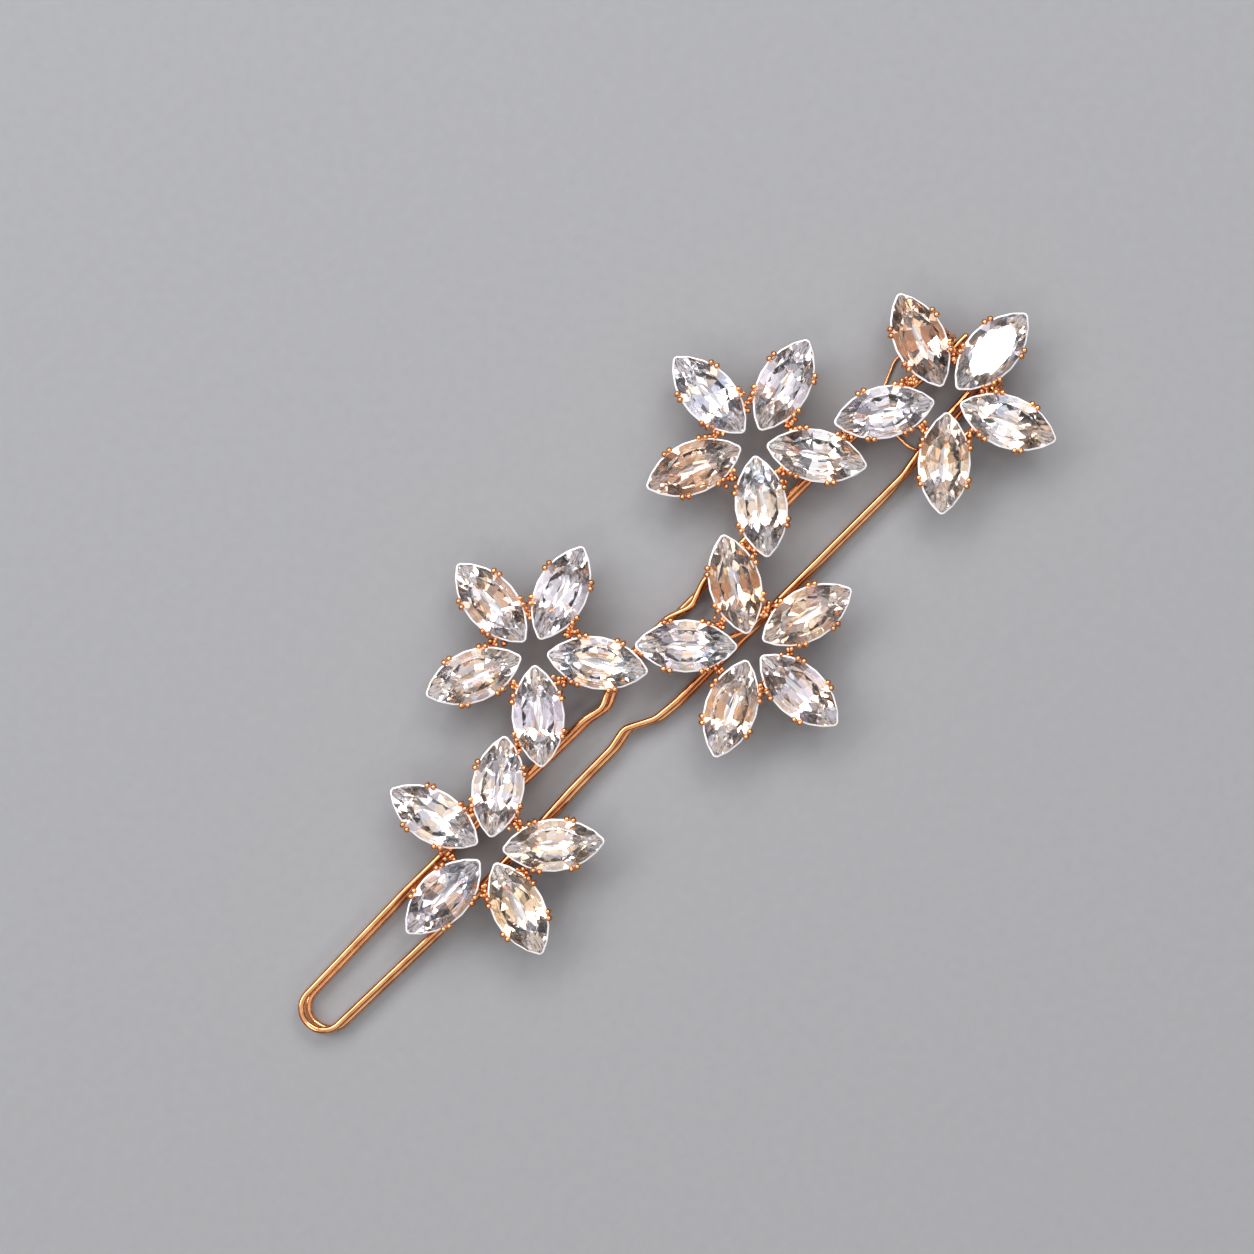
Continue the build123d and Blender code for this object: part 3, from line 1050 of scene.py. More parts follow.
@dataclass
class Crystal(Marquise):
    """One cut stone: table, stars, crown, ground girdle, and a foiled pavilion with a narrow keel."""

    crown: float = 0.85 * MM
    tip_radius: float = 0.45 * MM
    side_edges: int = 8
    tip_edges: tuple[float, ...] = (-15, 15)
    table_share: float = 0.64
    star_share: float = 0.94
    star_flatter: float = 0.5
    chamfer: float = 0.15 * MM
    chamfer_slope: float = 58
    crown_steeper: float = 5
    flank_slope: float = 43
    flank_steeper: float = 6
    keel_slopes: tuple[float, ...] = (8, 15)
    keel_lifts: tuple[float, ...] = (0.0, -0.035 * MM)
    keel_fan: float = 14
    variety: float = 1.3
    # Painted light: facets' tints pale towards the points, a painted lighter tip
    painted_tip_paleness: float = 0.85
    tip_veil: float = 0.3
    parallel: float = 1e-4
    tolerance: float = 1e-6
    same_point: float = 1e-5
    just_before: float = 1e-6

    def reach(self, bearings: np.ndarray) -> np.ndarray:
        """How far the outline reaches along each bearing.

        The outline is a marquise of arcs of radius R - r about the middles of the two long sides,
        with a disc of radius r carried round it. In a direction at a lean from y it reaches
        r + (R - r) - (R - width / 2) cos(lean), or past the tip's lean r + tip sin(lean).

        Args:
            bearings: Directions in radians from the long axis.

        Returns:
            Distances from the stone's middle to the outline's tangents.
        """
        radius = self.arc_of(self.length, self.width)
        middle, inner = radius - self.width / 2, radius - self.tip_radius
        tip = math.sqrt(inner**2 - middle**2)
        along, aside = np.abs(np.cos(bearings)), np.abs(np.sin(bearings))
        return self.tip_radius + np.where(along < tip / inner, inner - middle * aside, tip * along)

    def bearings(self) -> tuple[np.ndarray, np.ndarray]:
        """Where the girdle's edges look.

        Returns:
            Directions of the edges and of the corner after each of them, in radians.
        """
        lean = self.tip_turn * (1 - (2 * np.arange(self.side_edges) + 1) / self.side_edges)
        half = np.concatenate([np.radians(self.tip_edges), np.pi / 2 - lean])
        edges = np.concatenate([half, half + np.pi])
        return edges, (edges + np.roll(edges, -1)) / 2 + np.pi * (np.roll(edges, -1) < edges)

    def planes(self, seed: int) -> tuple[np.ndarray, np.ndarray, np.ndarray]:
        """The planes that cut the stone out.

        Half facets cut along each edge of the girdle, main facets at its corners and star facets
        round the table; long strips along both sides of the keel return light by themselves.

        Args:
            seed: Starts the draw of the small unevenness that hand polishing leaves.

        Returns:
            For each facet its unit direction, its distance from the foot and its polish.
        """
        edges, corners = self.bearings()
        mains, stars = corners[::2], corners[1::2]
        top = self.girdle_high + self.crown
        inset = self.chamfer
        main_slope = self._rise(mains, inset)
        edge_slope = self._rise(edges, inset) + self.crown_steeper
        star_slope = self._rise(stars, 0) * self.star_flatter
        chamfer_low = self.girdle_high - inset * math.tan(math.radians(self.chamfer_slope))
        keel = np.radians(QUARTER_TURN + np.array([0, -self.keel_fan, self.keel_fan]))
        keel = np.concatenate([keel, keel + np.pi])
        draw = np.random.default_rng(seed)
        half_slope = -self.flank_slope - self.flank_steeper + self._uneven(draw, edges)
        flank_slope = -self.flank_slope + self._uneven(draw, corners)
        rows = [
            self._row(edges, chamfer_low, self.chamfer_slope, Polish.GROUND),
            self._row(edges, self.girdle_high, edge_slope, Polish.GLASS, inset=inset),
            self._row(mains, self.girdle_high, main_slope, Polish.GLASS, inset=inset),
            self._row(stars, top, star_slope, Polish.GLASS, self.star_share * self.table_share),
            self._row(np.zeros(1), top, 0, Polish.GLASS),
            self._row(edges, self.pavilion, half_slope, Polish.FOIL),
            self._row(corners, self.pavilion, flank_slope, Polish.FOIL),
        ]
        rows += [
            self._row(keel, lift, -slope + self._uneven(draw, keel), Polish.FOIL, share=0)
            for slope, lift in zip(self.keel_slopes, self.keel_lifts)
        ]
        rows.append(self._row(edges, self.girdle_high, QUARTER_TURN, Polish.GROUND))
        return tuple(np.concatenate(column) for column in zip(*rows))

    def _rise(self, bearings: np.ndarray, inset: float) -> np.ndarray:
        """Slopes in degrees from the girdle, less an inset, up to the table's edge."""
        return np.degrees(np.arctan2(self.crown, self.reach(bearings) * (1 - self.table_share) - inset))

    def _uneven(self, draw: np.random.Generator, bearings: np.ndarray) -> np.ndarray:
        """A small random change of slope for each facet, in degrees."""
        return draw.uniform(-self.variety, self.variety, len(bearings))

    def _row(self, bearings: np.ndarray, height: float, slope: Any, polish: Polish, share: float = 1,
             inset: float = 0) -> tuple[np.ndarray, np.ndarray, np.ndarray]:
        """Planes of one kind all round the stone.

        At a bearing a and a slope w a plane looks along (sin w cos a, sin w sin a, +-cos w), and
        its distance is sin w reach +- cos w height.

        Args:
            bearings: The planes' bearings in radians.
            height: The height at which they have their reach.
            slope: Their slope from level in degrees, below 0 for planes that look down.
            polish: Their polish.
            share: Their reach as a share of the outline's.
            inset: How far inside that they lie.

        Returns:
            Their unit directions, distances and polish.
        """
        reach = share * self.reach(bearings) - inset
        lean = np.radians(np.abs(slope)) * np.ones(len(bearings))
        upward = np.where(np.asarray(slope) < 0, -1, 1) * np.cos(lean)
        plan = np.stack([np.cos(bearings), np.sin(bearings)], axis=-1) * np.sin(lean)[:, None]
        normals = np.concatenate([plan, upward[:, None]], axis=1)
        return normals, np.sin(lean) * reach + upward * height, np.full(len(bearings), int(polish))

    def surface(self, seed: int) -> tuple[Surface, np.ndarray]:
        """The solid that all planes leave.

        A corner is a point where three planes meet that no plane cuts off. Planes of the crown or
        of the pavilion meet each other and the girdle's. Points that are the same are kept once; a
        facet's corners are those on its plane, in the order of their angle about its middle. All
        this is worked out in millimetres, as the tolerances are.

        Args:
            seed: Starts the draw of the facets' unevenness.

        Returns:
            The stone's skin with one face for each facet, and the polish of each face.
        """
        normals, distances, polish = self.planes(seed)
        scaled = distances / MM
        halves = [np.flatnonzero(polish != other) for other in (Polish.FOIL, Polish.GLASS)]
        threes = np.concatenate([list(itertools.combinations(half, 3)) for half in halves])
        threes = threes[np.abs(np.linalg.det(normals[threes])) > self.parallel]
        meets = np.linalg.solve(normals[threes], scaled[threes][..., None])[..., 0]
        kept = meets[(meets @ normals.T <= scaled + self.tolerance).all(axis=1)]
        same = np.linalg.norm(kept[:, None] - kept, axis=-1) < self.same_point
        points = kept[np.unique(same.argmax(axis=1))]
        on = np.abs(points @ normals.T - scaled) < 2 * self.same_point
        seen = np.flatnonzero(on.sum(axis=0) > 2)
        loops = [
            self._in_order(points, np.flatnonzero(on[:, number]), normals[number]) for number in seen
        ]
        counts = np.array([len(loop) for loop in loops])
        return Surface(points * MM, np.concatenate(loops), counts), polish[seen]

    def _in_order(self, points: np.ndarray, numbers: np.ndarray, normal: np.ndarray) -> np.ndarray:
        """Puts a facet's corners in order of their angle about its middle.

        Angles run from just before the first corner, so that rounding can't change the order.

        Args:
            points: All corners of the stone.
            numbers: The facet's corner numbers.
            normal: The facet's direction.

        Returns:
            The numbers, turning right-handed about the direction.
        """
        spread = points[numbers] - points[numbers].mean(axis=0)
        across = unit(spread[0] - (spread[0] @ normal) * normal)
        angle = np.arctan2(spread @ np.cross(normal, across), spread @ across)
        return numbers[np.argsort((angle + self.just_before) % (2 * np.pi))]

    def build(self, petal: Petal, seed: int, cut: tuple[Surface, np.ndarray],
              materials: list[bpy.types.Material], foil: FoilFinish, slot: str) -> None:
        """Adds one stone with its facets' tints.

        Nearness n is a facet's distance from the stone's middle along it, 1 at a point. A tint t
        pales to t + (1 - t) p n, a painted lighter tip, and its alpha is 1 - v n^2, with p and v the
        tips' values.

        Args:
            petal: Where the stone stands.
            seed: Starts the stone's own draw of tints.
            cut: The stone's skin and the polish of each face.
            materials: The stone's materials in the order of Polish.
            foil: Names the attributes that the foil reads.
            slot: The record's slot of the stones.
        """
        own, polish = cut
        skin = own.placed(petal.turn[None], petal.middle[None])
        mesh = skin.mesh(petal.node.replace("stone", "crystal"))
        mesh.shade_flat()
        mesh.polygons.foreach_set("material_index", polish.astype(np.int32))
        draw = np.random.default_rng(seed)
        # Tints drawn facet by facet: partly the foil's colour, partly painted reflection
        palette = np.array([tint.value for tint in Tint])
        tints = palette[draw.choice(len(palette), size=len(polish), p=petal.mood.value)]
        facet = np.repeat(np.arange(len(polish)), own.counts)
        middle = np.bincount(facet, np.abs(own.points[own.loops, 0])) / own.counts
        nearness = middle[:, None] / (self.length / 2)
        # Painted lighter tips: each tint pales towards the points
        paler = tints + (1 - tints) * self.painted_tip_paleness * nearness
        colours = np.concatenate([paler, 1 - self.tip_veil * nearness**2], axis=1)[facet]
        attribute = mesh.attributes.new(foil.tint_name, "FLOAT_COLOR", "CORNER")
        attribute.data.foreach_set("color", colours.astype(np.float32).ravel())
        place = mesh.attributes.new(foil.place_name, "FLOAT_VECTOR", "POINT")
        place.data.foreach_set("vector", (own.points + seed * self.length).astype(np.float32).ravel())
        add_piece(mesh, materials, FRAME_BODY, slot, petal.node)


@dataclass
class ClawCup(Marquise):
    """The cup under a stone, with a window in each long side and four pairs of claws."""

    wall: float = 0.24 * MM
    rim_wall: float = 0.16 * MM
    floor: float = 0.3 * MM
    seat_gap: float = 0.05 * MM
    rim_drop: float = 0.25 * MM
    tip_inset: float = 0.1 * MM
    base_length: float = 0.64
    base_width: float = 0.4
    foot_round: tuple[float, float] = (0.08 * MM, 0.02 * MM)
    floor_round: float = 0.1 * MM
    rim_round: float = 0.15
    side_steps: int = 26
    wall_rows: tuple[float, ...] = (0.02, 0.1, 0.22, 0.36, 0.43, 0.5, 0.66, 0.76, 0.83, 0.9, 0.97)
    window_steps: int = 3
    window_rows: tuple[int, int] = (4, 8)
    window_centre: float = 0.63
    window_round: float = 0.35
    window_power: int = 4
    claw_wire: float = 0.38 * MM
    claw_bead: float = 0.62 * MM
    claw_spacing: float = 0.62 * MM
    claw_place: float = 0.36
    claw_root: float = 0.55
    claw_knee: tuple[float, float] = (0.8, 0.14)
    claw_bend: float = 0.7
    claw_tip: tuple[float, float] = (0.12, 0.5)
    claw_sides: int = 10
    claw_steps: int = 7
    bead_rings: int = 8

    @property
    def low(self) -> float:
        """Height of the cup's underside below the stone's keel."""
        return -self.floor - self.seat_gap

    @property
    def high(self) -> float:
        """Height of the cup's rim."""
        return self.pavilion - self.rim_drop

    @property
    def window_columns(self) -> tuple[int, int]:
        """Places round a ring of the middles of the two windows."""
        return self.side_steps // 2, self.side_steps + self.side_steps // 2

    def size_at(self, height: Any) -> tuple[Any, Any]:
        """The cup's outer size, which grows evenly from its base to its rim.

        Args:
            height: A height, or an array of them.

        Returns:
            Length and width there.
        """
        share = (height - self.low) / (self.high - self.low)
        base_length, base_width = self.base_length * self.length, self.base_width * self.width
        rim_length = self.length - 2 * self.tip_inset
        length = base_length + share * (rim_length - base_length)
        return length, base_width + share * (self.width - base_width)

    def cup_skin(self) -> Surface:
        """The cup as one closed profile of outlines: underside, wall, rim, hollow and floor.

        Rows climb the outer wall, roll over the rim and go down the hollow at the same heights;
        at each window the cells of both walls are left out and their edges are bridged.

        Returns:
            The cup's skin.
        """
        heights = self.low + np.array(self.wall_rows) * (self.high - self.low)
        inner = heights[heights > 0][::-1]
        level = np.concatenate([[self.low], heights, [self.high, self.high], inner, [-self.seat_gap]])
        blend = (inner - inner[-1]) / (inner[0] - inner[-1])
        inset = np.concatenate([
            self.foot_round,
            np.zeros(len(heights) - 1),
            self.rim_wall * np.array([self.rim_round, 1 - self.rim_round]),
            self.wall + blend * (self.rim_wall - self.wall),
            [self.wall + self.floor_round],
        ])
        lengths, widths = self.size_at(level)
        lengths = lengths - 2 * inset / math.sin(self.tip_turn)
        rings = self.rings(lengths, widths - 2 * inset, level, self.side_steps)
        first, last = self.window_rows
        self._round_window(rings, 1 + np.arange(first, last))
        # One ring of the foot and two of the rim come before the hollow's
        inner_top = len(heights) + 3
        self._round_window(rings, inner_top + len(heights) - 1 - np.arange(first, last))
        foot, bed = np.array([[0, 0, self.low]]), np.array([[0, 0, -self.seat_gap]])
        return self._cut_windows(capped_rings(rings[None], foot, bed), len(heights), inner_top)

    def _round_window(self, rings: np.ndarray, rows: np.ndarray) -> None:
        """Draws the window's rows together towards its ends, so that its corners are round.

        At a share s of the way from the window's middle to an end, heights from the window's
        middle shrink by the factor 1 - r s^p.

        Args:
            rings: The cup's rings, which are changed.
            rows: The window's rings.
        """
        middle = self.low + self.window_centre * (self.high - self.low)
        steps = np.arange(-self.window_steps, self.window_steps + 1)
        squeeze = 1 - self.window_round * (np.abs(steps) / self.window_steps) ** self.window_power
        for start in self.window_columns:
            cells = np.ix_(rows, start + steps)
            level = rings[..., 2][cells]
            rings[(*cells, 2)] = middle + (level - middle) * squeeze

    def _cut_windows(self, skin: Surface, outer: int, inner_top: int) -> Surface:
        """Leaves out the windows' cells in both walls and bridges their edges.

        Args:
            skin: The cup's skin without windows.
            outer: How many rings the outer wall has.
            inner_top: The number of the hollow's highest ring.

        Returns:
            The skin with its windows.
        """
        first, last = self.window_rows
        sides = 2 * self.side_steps
        quads = skin.loops[: 4 * int((skin.counts == 4).sum())].reshape(-1, 4)
        fans = skin.loops[quads.size:]
        row, column = (quads[:, 0] - 1) // sides, (quads[:, 0] - 1) % sides
        gone = np.zeros(len(quads), bool)
        bridges = []
        for start in self.window_columns:
            left, right = start - self.window_steps, start + self.window_steps
            within = (column >= left) & (column < right)
            outside = (row >= 1 + first) & (row < last)
            inner_rows = (inner_top + outer - last, inner_top + outer - 1 - first)
            inside = (row >= inner_rows[0]) & (row < inner_rows[1])
            gone |= within & (outside | inside)
            steps = np.arange(left, right)
            climbs = np.arange(first, last - 1)
            loop = np.concatenate([
                np.stack([np.full(len(steps), first), steps], axis=-1),
                np.stack([climbs, np.full(len(climbs), right)], axis=-1),
                np.stack([np.full(len(steps), last - 1), steps[::-1] + 1], axis=-1),
                np.stack([climbs[::-1] + 1, np.full(len(climbs), left)], axis=-1),
            ])
            outer_loop = 1 + (1 + loop[:, 0]) * sides + loop[:, 1]
            inner_loop = 1 + (inner_top + outer - 1 - loop[:, 0]) * sides + loop[:, 1]
            bridges.append(np.stack(
                [outer_loop, np.roll(outer_loop, -1), np.roll(inner_loop, -1), inner_loop], axis=-1
            ))
        kept = np.concatenate([quads[~gone], *bridges])
        counts = np.concatenate([np.full(len(kept), 4), np.full(len(fans) // 3, 3)])
        return Surface(skin.points, np.concatenate([kept.ravel(), fans]), counts)

    def claw_skin(self) -> Surface:
        """The cup's eight claws.

        A claw's line is drawn once as reach out from the stone's edge against height: from its
        root in the wall to a knee, out and down from the girdle in claw wires, and on to its tip,
        out and up from the girdle in beads. The claw at signs (i, j) and spread s then stands at
        x = i (x0 + out sin w + s cos w) and y = j (y0 + out cos w - s sin w), w being the outline's
        lean at the claws' place.

        Returns:
            The claws' skins, each a wire with a ball at its end.
        """
        x0 = self.claw_place * self.length / 2
        y0 = float(self.half_width(self.length, self.width, x0))
        lean = math.asin(x0 / self.arc_of(self.length, self.width))
        root_height = self.claw_root * self.pavilion
        root_side = float(self.half_width(*self.size_at(root_height), x0)) - self.wall / 2
        (knee_out, knee_down), (tip_out, tip_up) = self.claw_knee, self.claw_tip
        corners = np.array([
            ((root_side - y0) / math.cos(lean), 0, root_height),
            (knee_out * self.claw_wire, 0, self.pavilion - knee_down * self.claw_wire),
            (tip_out * self.claw_bead, 0, self.girdle_high + tip_up * self.claw_bead),
        ])
        line = rounded(corners, np.array([self.claw_bend * self.claw_wire]), self.claw_steps)
        onward = unit(line[-1] - line[-2])
        ball, wire = self.claw_bead / 2, self.claw_wire / 2
        angle = np.linspace(math.asin(wire / ball), np.pi, self.bead_rings)
        bead = line[-1] - ball * np.cos(angle)[:, None] * onward
        route = np.concatenate([line[:-1], bead])
        radii = np.concatenate([np.full(len(line) - 1, wire), ball * np.sin(angle)])
        signs = np.array(list(itertools.product((1, -1), repeat=3)))
        out, height = route[None, :, 0], route[None, :, 2]
        spread = signs[:, 2:] * self.claw_spacing / 2
        x = signs[:, :1] * (x0 + out * math.sin(lean) + spread * math.cos(lean))
        y = signs[:, 1:2] * (y0 + out * math.cos(lean) - spread * math.sin(lean))
        routes = np.stack([x, y, np.broadcast_to(height, x.shape)], axis=-1)
        return tubes(routes, np.tile(radii, (len(signs), 1)), self.claw_sides, ALONG)


@dataclass(frozen=True)
class Link:
    """Solder between petals of two flowers.

    Args:
        petal: The first petal's node.
        place: Where on it, as a share of the stone's half length from its middle.
        other: The second petal's node.
        other_place: Where on that one.
        side: Which long side of both petals faces the other.
    """

    petal: str
    place: float
    other: str
    other_place: float
    side: int


LINKS = (
    Link("stone_1_2", 0.72, "stone_2_4", 0.52, -1),
    Link("stone_2_3", 0.68, "stone_3_5", 0.78, 1),
    Link("stone_3_1", 0.56, "stone_4_4", 0.66, -1),
    Link("stone_4_3", 0.48, "stone_5_5", 0.76, 1),
)


@dataclass
class Solder:
    """Lumpy bars of solder from wall to wall, each with a heap of granules."""

    cup: ClawCup
    thickness: float = 0.5 * MM
    place: float = 0.5
    height_share: float = 0.62
    steps: int = 15
    sides: int = 14
    lumps: float = 2.5
    lump_depth: float = 0.16
    granules: int = 9
    granule_radii: tuple[float, float] = (0.22 * MM, 0.34 * MM)
    granule_spread: float = 0.38 * MM
    heap_height: float = 0.95 * MM
    coil_guard: float = 1.35 * MM
    granule_rings: int = 7
    granule_sides: int = 10

    def wall_point(self, petal: Petal, place: float, side: int) -> np.ndarray:
        """The middle of a cup's wall at the solder's height.

        Args:
            petal: The cup's petal.
            place: How far along it from its middle, as a share of its half length.
            side: Its long side, 1 or -1.

        Returns:
            The point in the clip's frame.
        """
        height = self.height_share * self.cup.pavilion
        x = place * self.cup.length / 2
        y = float(self.cup.half_width(*self.cup.size_at(height), x)) - self.cup.wall / 2
        return petal.in_clip(np.array([x, side * y, height]))

    def skin(self, ends: list[tuple[np.ndarray, np.ndarray]]) -> Surface:
        """Bars between pairs of points.

        The radius at a share s of the way is r (1 + d (2 s - 1)^2 + d cos(2 pi n s)), thicker at
        both ends and with n lumps of a depth d between them.

        Args:
            ends: Where each bar starts and ends.

        Returns:
            The bars' skins.
        """
        start, end = (np.array([pair[i] for pair in ends]) for i in (0, 1))
        share = np.linspace(0, 1, self.steps)
        routes = start[:, None] + share[:, None] * (end - start)[:, None]
        swell = 1 + self.lump_depth * ((2 * share - 1) ** 2 + np.cos(2 * np.pi * self.lumps * share))
        radii = np.tile(self.thickness / 2 * swell, (len(ends), 1))
        return tubes(routes, radii, self.sides, UP)

    def heaps(self, ends: list[tuple[np.ndarray, np.ndarray]], seed: int, coils: np.ndarray) -> Surface:
        """Granules heaped over the middle of each bar.

        A granule is a ball: its ring at an angle w from the lowest point has the radius r sin w
        at the height -r cos w. Balls stand at the bar's middle, moved by a normal draw sideways
        and by an even draw upwards, and the higher they stand the smaller they are. Those that
        would lie on the spring's coils are left out.

        Args:
            ends: Where each bar starts and ends.
            seed: Starts the draw of sizes and places.
            coils: The middles of the spring's coils.

        Returns:
            The granules' skins.
        """
        angle = np.linspace(0, np.pi, self.granule_rings + 2)
        route = np.stack([0 * angle, 0 * angle, -np.cos(angle)], axis=-1)
        ball = tubes(route[None], np.sin(angle)[None], self.granule_sides, ALONG)
        draw = np.random.default_rng(seed)
        middles = np.repeat([(start + end) / 2 for start, end in ends], self.granules, axis=0)
        climb = draw.uniform(0, 1, len(middles))
        shift = draw.normal(0, self.granule_spread, (len(middles), 3))
        shift[:, 2] = climb * self.heap_height
        small, large = self.granule_radii
        radii = large + (small - large) * climb
        places = middles + shift
        apart = np.linalg.norm((places[:, None] - coils)[..., :2], axis=-1)
        clear = (apart > self.coil_guard).all(axis=1)
        return ball.placed(radii[clear, None, None] * np.eye(3), places[clear])


@dataclass
class Flower:
    """Five petals on their soldered setting."""

    number: int
    moods: tuple[Mood, ...]
    petals: list[Petal] = field(init=False)

    def __post_init__(self) -> None:
        """Finds the flower's heart and reads each petal's place."""
        nodes = [f"stone_{self.number}_{petal}" for petal in range(1, len(self.moods) + 1)]
        heart = np.mean([np.array(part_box(node)).mean(axis=0) for node in nodes], axis=0)
        self.petals = [Petal(node, mood, heart) for node, mood in zip(nodes, self.moods)]

    def build_setting(self, solder: Solder, links: list[tuple[np.ndarray, np.ndarray]],
                      coils: np.ndarray, gilt: bpy.types.Material, slot: str) -> None:
        """Adds the cups, claws and solder of the flower as one piece.

        Args:
            solder: The solder's sizes and those of the cups.
            links: Ends of the bars that reach on to the next flower.
            coils: The middles of the spring's coils, where no solder lies.
            gilt: The metal's material.
            slot: The record's slot of the metal.
        """
        turns = np.array([petal.turn for petal in self.petals])
        middles = np.array([petal.middle for petal in self.petals])
        bars = links + [
            (solder.wall_point(petal, -solder.place, -1), solder.wall_point(other, -solder.place, 1))
            for petal, other in zip(self.petals, self.petals[1:] + self.petals[:1])
        ]
        skin = Surface.joined([
            solder.cup.cup_skin().placed(turns, middles),
            solder.cup.claw_skin().placed(turns, middles),
            solder.skin(bars),
            solder.heaps(bars, self.number, coils),
        ])
        add_piece(skin.mesh(f"setting_{self.number}"), [gilt], FRAME_BODY, slot, "soldered_frame")


# The studio

@dataclass(frozen=True)
class Softbox:
    """One soft light.

    Args:
        name: Its name.
        around: Its bearing about the clip, in degrees from x.
        down: Its angle from straight above, in degrees.
        distance: How far it stands from the clip.
        width: Its level side.
        height: Its other side.
        power: Its power in watts.
        tint: Its colour.
    """

    name: str
    around: float
    down: float
    distance: float
    width: float
    height: float
    power: float
    tint: Colour = (1.0, 1.0, 1.0)

    def add(self, target: Vector) -> None:
        """Sets the light up, turned to a target and out of the camera's sight.

        Args:
            target: What it lights.
        """
        around, down = math.radians(self.around), math.radians(self.down)
        level = Vector((math.cos(around), math.sin(around), 0)) * math.sin(down)
        way = level + Vector((0, 0, math.cos(down)))
        lamp = bpy.data.lights.new(self.name, "AREA")
        lamp.shape = "RECTANGLE"
        lamp.size, lamp.size_y = self.width, self.height
        lamp.energy = self.power
        lamp.color = self.tint
        holder = add_object(self.name, lamp)
        holder.location = target + way * self.distance
        holder.rotation_euler = way.to_track_quat("Z", "Y").to_euler()
        holder.visible_camera = False


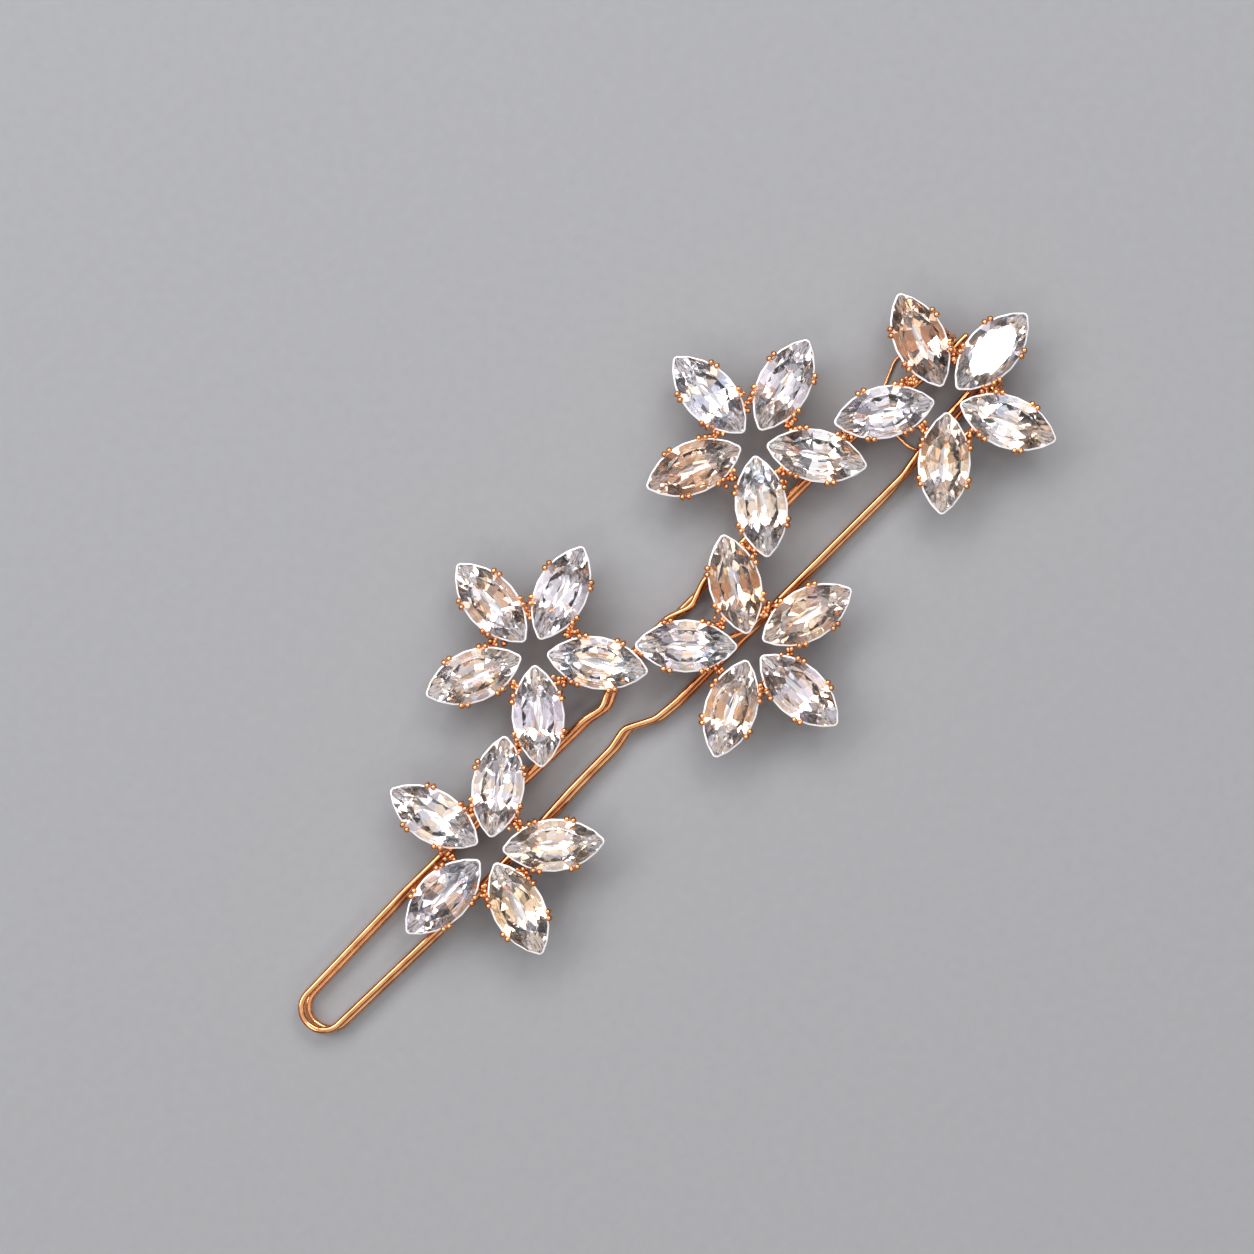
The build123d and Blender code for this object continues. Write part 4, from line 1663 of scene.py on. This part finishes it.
@dataclass
class Studio:
    """Pale floor, soft light and a camera straight above, with the clip on the diagonal."""

    view_width: float = 120.6 * MM
    view_centre: tuple[float, float] = (0.41 * MM, 2.55 * MM)
    focus_height: float = 2.5 * MM
    lens: float = 100.0
    sensor: float = 36.0
    nearest: float = 10 * MM
    clip_turn: float = math.radians(-45)
    floor_half: float = 1.5
    room_stops: tuple[tuple[float, Colour], ...] = (
        (0.0, (0.05, 0.05, 0.06)),
        (0.25, (0.20, 0.20, 0.23)),
        (0.5, (0.40, 0.40, 0.44)),
        (0.72, (0.92, 0.91, 0.94)),
        (1.0, (1.12, 1.10, 1.10)),
    )
    room_cloud_scale: float = 5.0
    room_low: float = 0.25
    room_range: float = 1.4
    dark_side: float = 0.55
    dark_range: tuple[float, float] = (0.1, -0.7)
    lights: tuple[Softbox, ...] = (
        Softbox("key_strip", 90, 44, 0.60, 0.90, 0.24, 3.3),
        Softbox("fill_strip", 270, 44, 0.60, 0.90, 0.16, 0.5, (1.0, 0.97, 0.93)),
        Softbox("nose_card", 190, 36, 0.60, 0.12, 0.12, 0.35, (1.0, 0.90, 0.78)),
        Softbox("hinge_card", 20, 40, 0.60, 0.24, 0.24, 1.0, (1.0, 0.97, 0.93)),
        Softbox("table_spot", -6.3, 14.6, 0.347, 0.018, 0.018, 0.05),
    )

    def build(self) -> None:
        """Sets up the floor, the room, the lights and the camera."""
        self._add_floor()
        self._add_room()
        for light in self.lights:
            light.add(Vector((0, 0, 0)))
        self._add_camera()
        bpy.context.scene.view_settings.view_transform = "Standard"

    def _add_floor(self) -> None:
        """A wide matt sheet at the clip's resting height."""
        half = self.floor_half
        corners = [(-half, -half, 0), (half, -half, 0), (half, half, 0), (-half, half, 0)]
        mesh = bpy.data.meshes.new("floor")
        mesh.from_pydata(corners, [], [(0, 1, 2, 3)])
        mesh.materials.append(PaperFinish().material())
        floor = add_object("floor", mesh)

    def _add_room(self) -> None:
        """A room lit from a softly clouded ceiling, dim towards the horizon and on one side."""
        room = Shader(bpy.data.worlds.new("room"))
        way = room.node("ShaderNodeTexCoord", output="Generated")
        aside, height = (room.node("ShaderNodeSeparateXYZ", {}, {0: way}, axis) for axis in "YZ")
        tone = room.node("ShaderNodeValToRGB", {"stops": self.room_stops}, {"Fac": height})
        side = 1 - self.dark_side * room.step(aside, *self.dark_range)
        clouds = self.room_low + self.room_range * room.noise(way, self.room_cloud_scale)
        backdrop = room.node("ShaderNodeBackground", {}, {"Color": tone, "Strength": side * clouds})
        bpy.context.scene.world = room.done(backdrop, "ShaderNodeOutputWorld")

    def _add_camera(self) -> None:
        """A long lens that sees the photo's width at the height of the stones."""
        data = bpy.data.cameras.new("camera")
        data.lens, data.sensor_width = self.lens, self.sensor
        data.clip_start = self.nearest
        camera = add_object("camera", data)
        distance = self.view_width * self.lens / self.sensor
        camera.location = (*self.view_centre, self.focus_height + distance)
        camera.rotation_euler = (0, 0, self.clip_turn)
        bpy.context.scene.camera = camera


def axle_of(joint_name: str) -> np.ndarray:
    """Where the axle of a joint of the frame is."""
    joint = next(joint for joint in frame["joints"] if joint["name"] == joint_name)
    return np.array(joint["pos_m"], float)


def main() -> None:
    """Builds every sub-assembly in order."""
    logging.basicConfig(level=logging.INFO, format="%(name)s %(message)s")
    gilt_finish = GiltFinish("rose_gilt", "rose_gold")
    steel_finish = GiltFinish("gilt_spring_wire", "gilt_spring_steel", roughness=0.2, cloud_scale=900.0)
    gilt, steel = gilt_finish.material(), steel_finish.material()
    axle = axle_of("arm_hinge")
    UpperHairpin(axle).build(gilt, gilt_finish.slot)
    LowerArm(axle).build(gilt, gilt_finish.slot)
    spring = TorsionSpring(axle)
    spring.build(steel, steel_finish.slot)

    flowers = [Flower(number, moods) for number, moods in enumerate(FLOWER_MOODS, start=1)]
    petals = {petal.node: petal for flower in flowers for petal in flower.petals}
    solder = Solder(ClawCup())
    for flower in flowers:
        links = [
            (solder.wall_point(petals[link.petal], link.place, link.side),
             solder.wall_point(petals[link.other], link.other_place, link.side))
            for link in LINKS if link.petal in [petal.node for petal in flower.petals]
        ]
        flower.build_setting(solder, links, spring.coil_middles(), gilt, gilt_finish.slot)

    crystal, foil = CrystalFinish(), FoilFinish()
    polishes = [finish.material() for finish in (crystal, foil, GroundFinish())]
    stone = Crystal()
    cuts = [stone.surface(seed) for seed in range(CUTS)]
    for seed, petal in enumerate(petals.values(), start=1):
        stone.build(petal, seed, cuts[seed % CUTS], polishes, foil, crystal.slot)

    Studio().build()


if __name__ == "__main__":
    main()
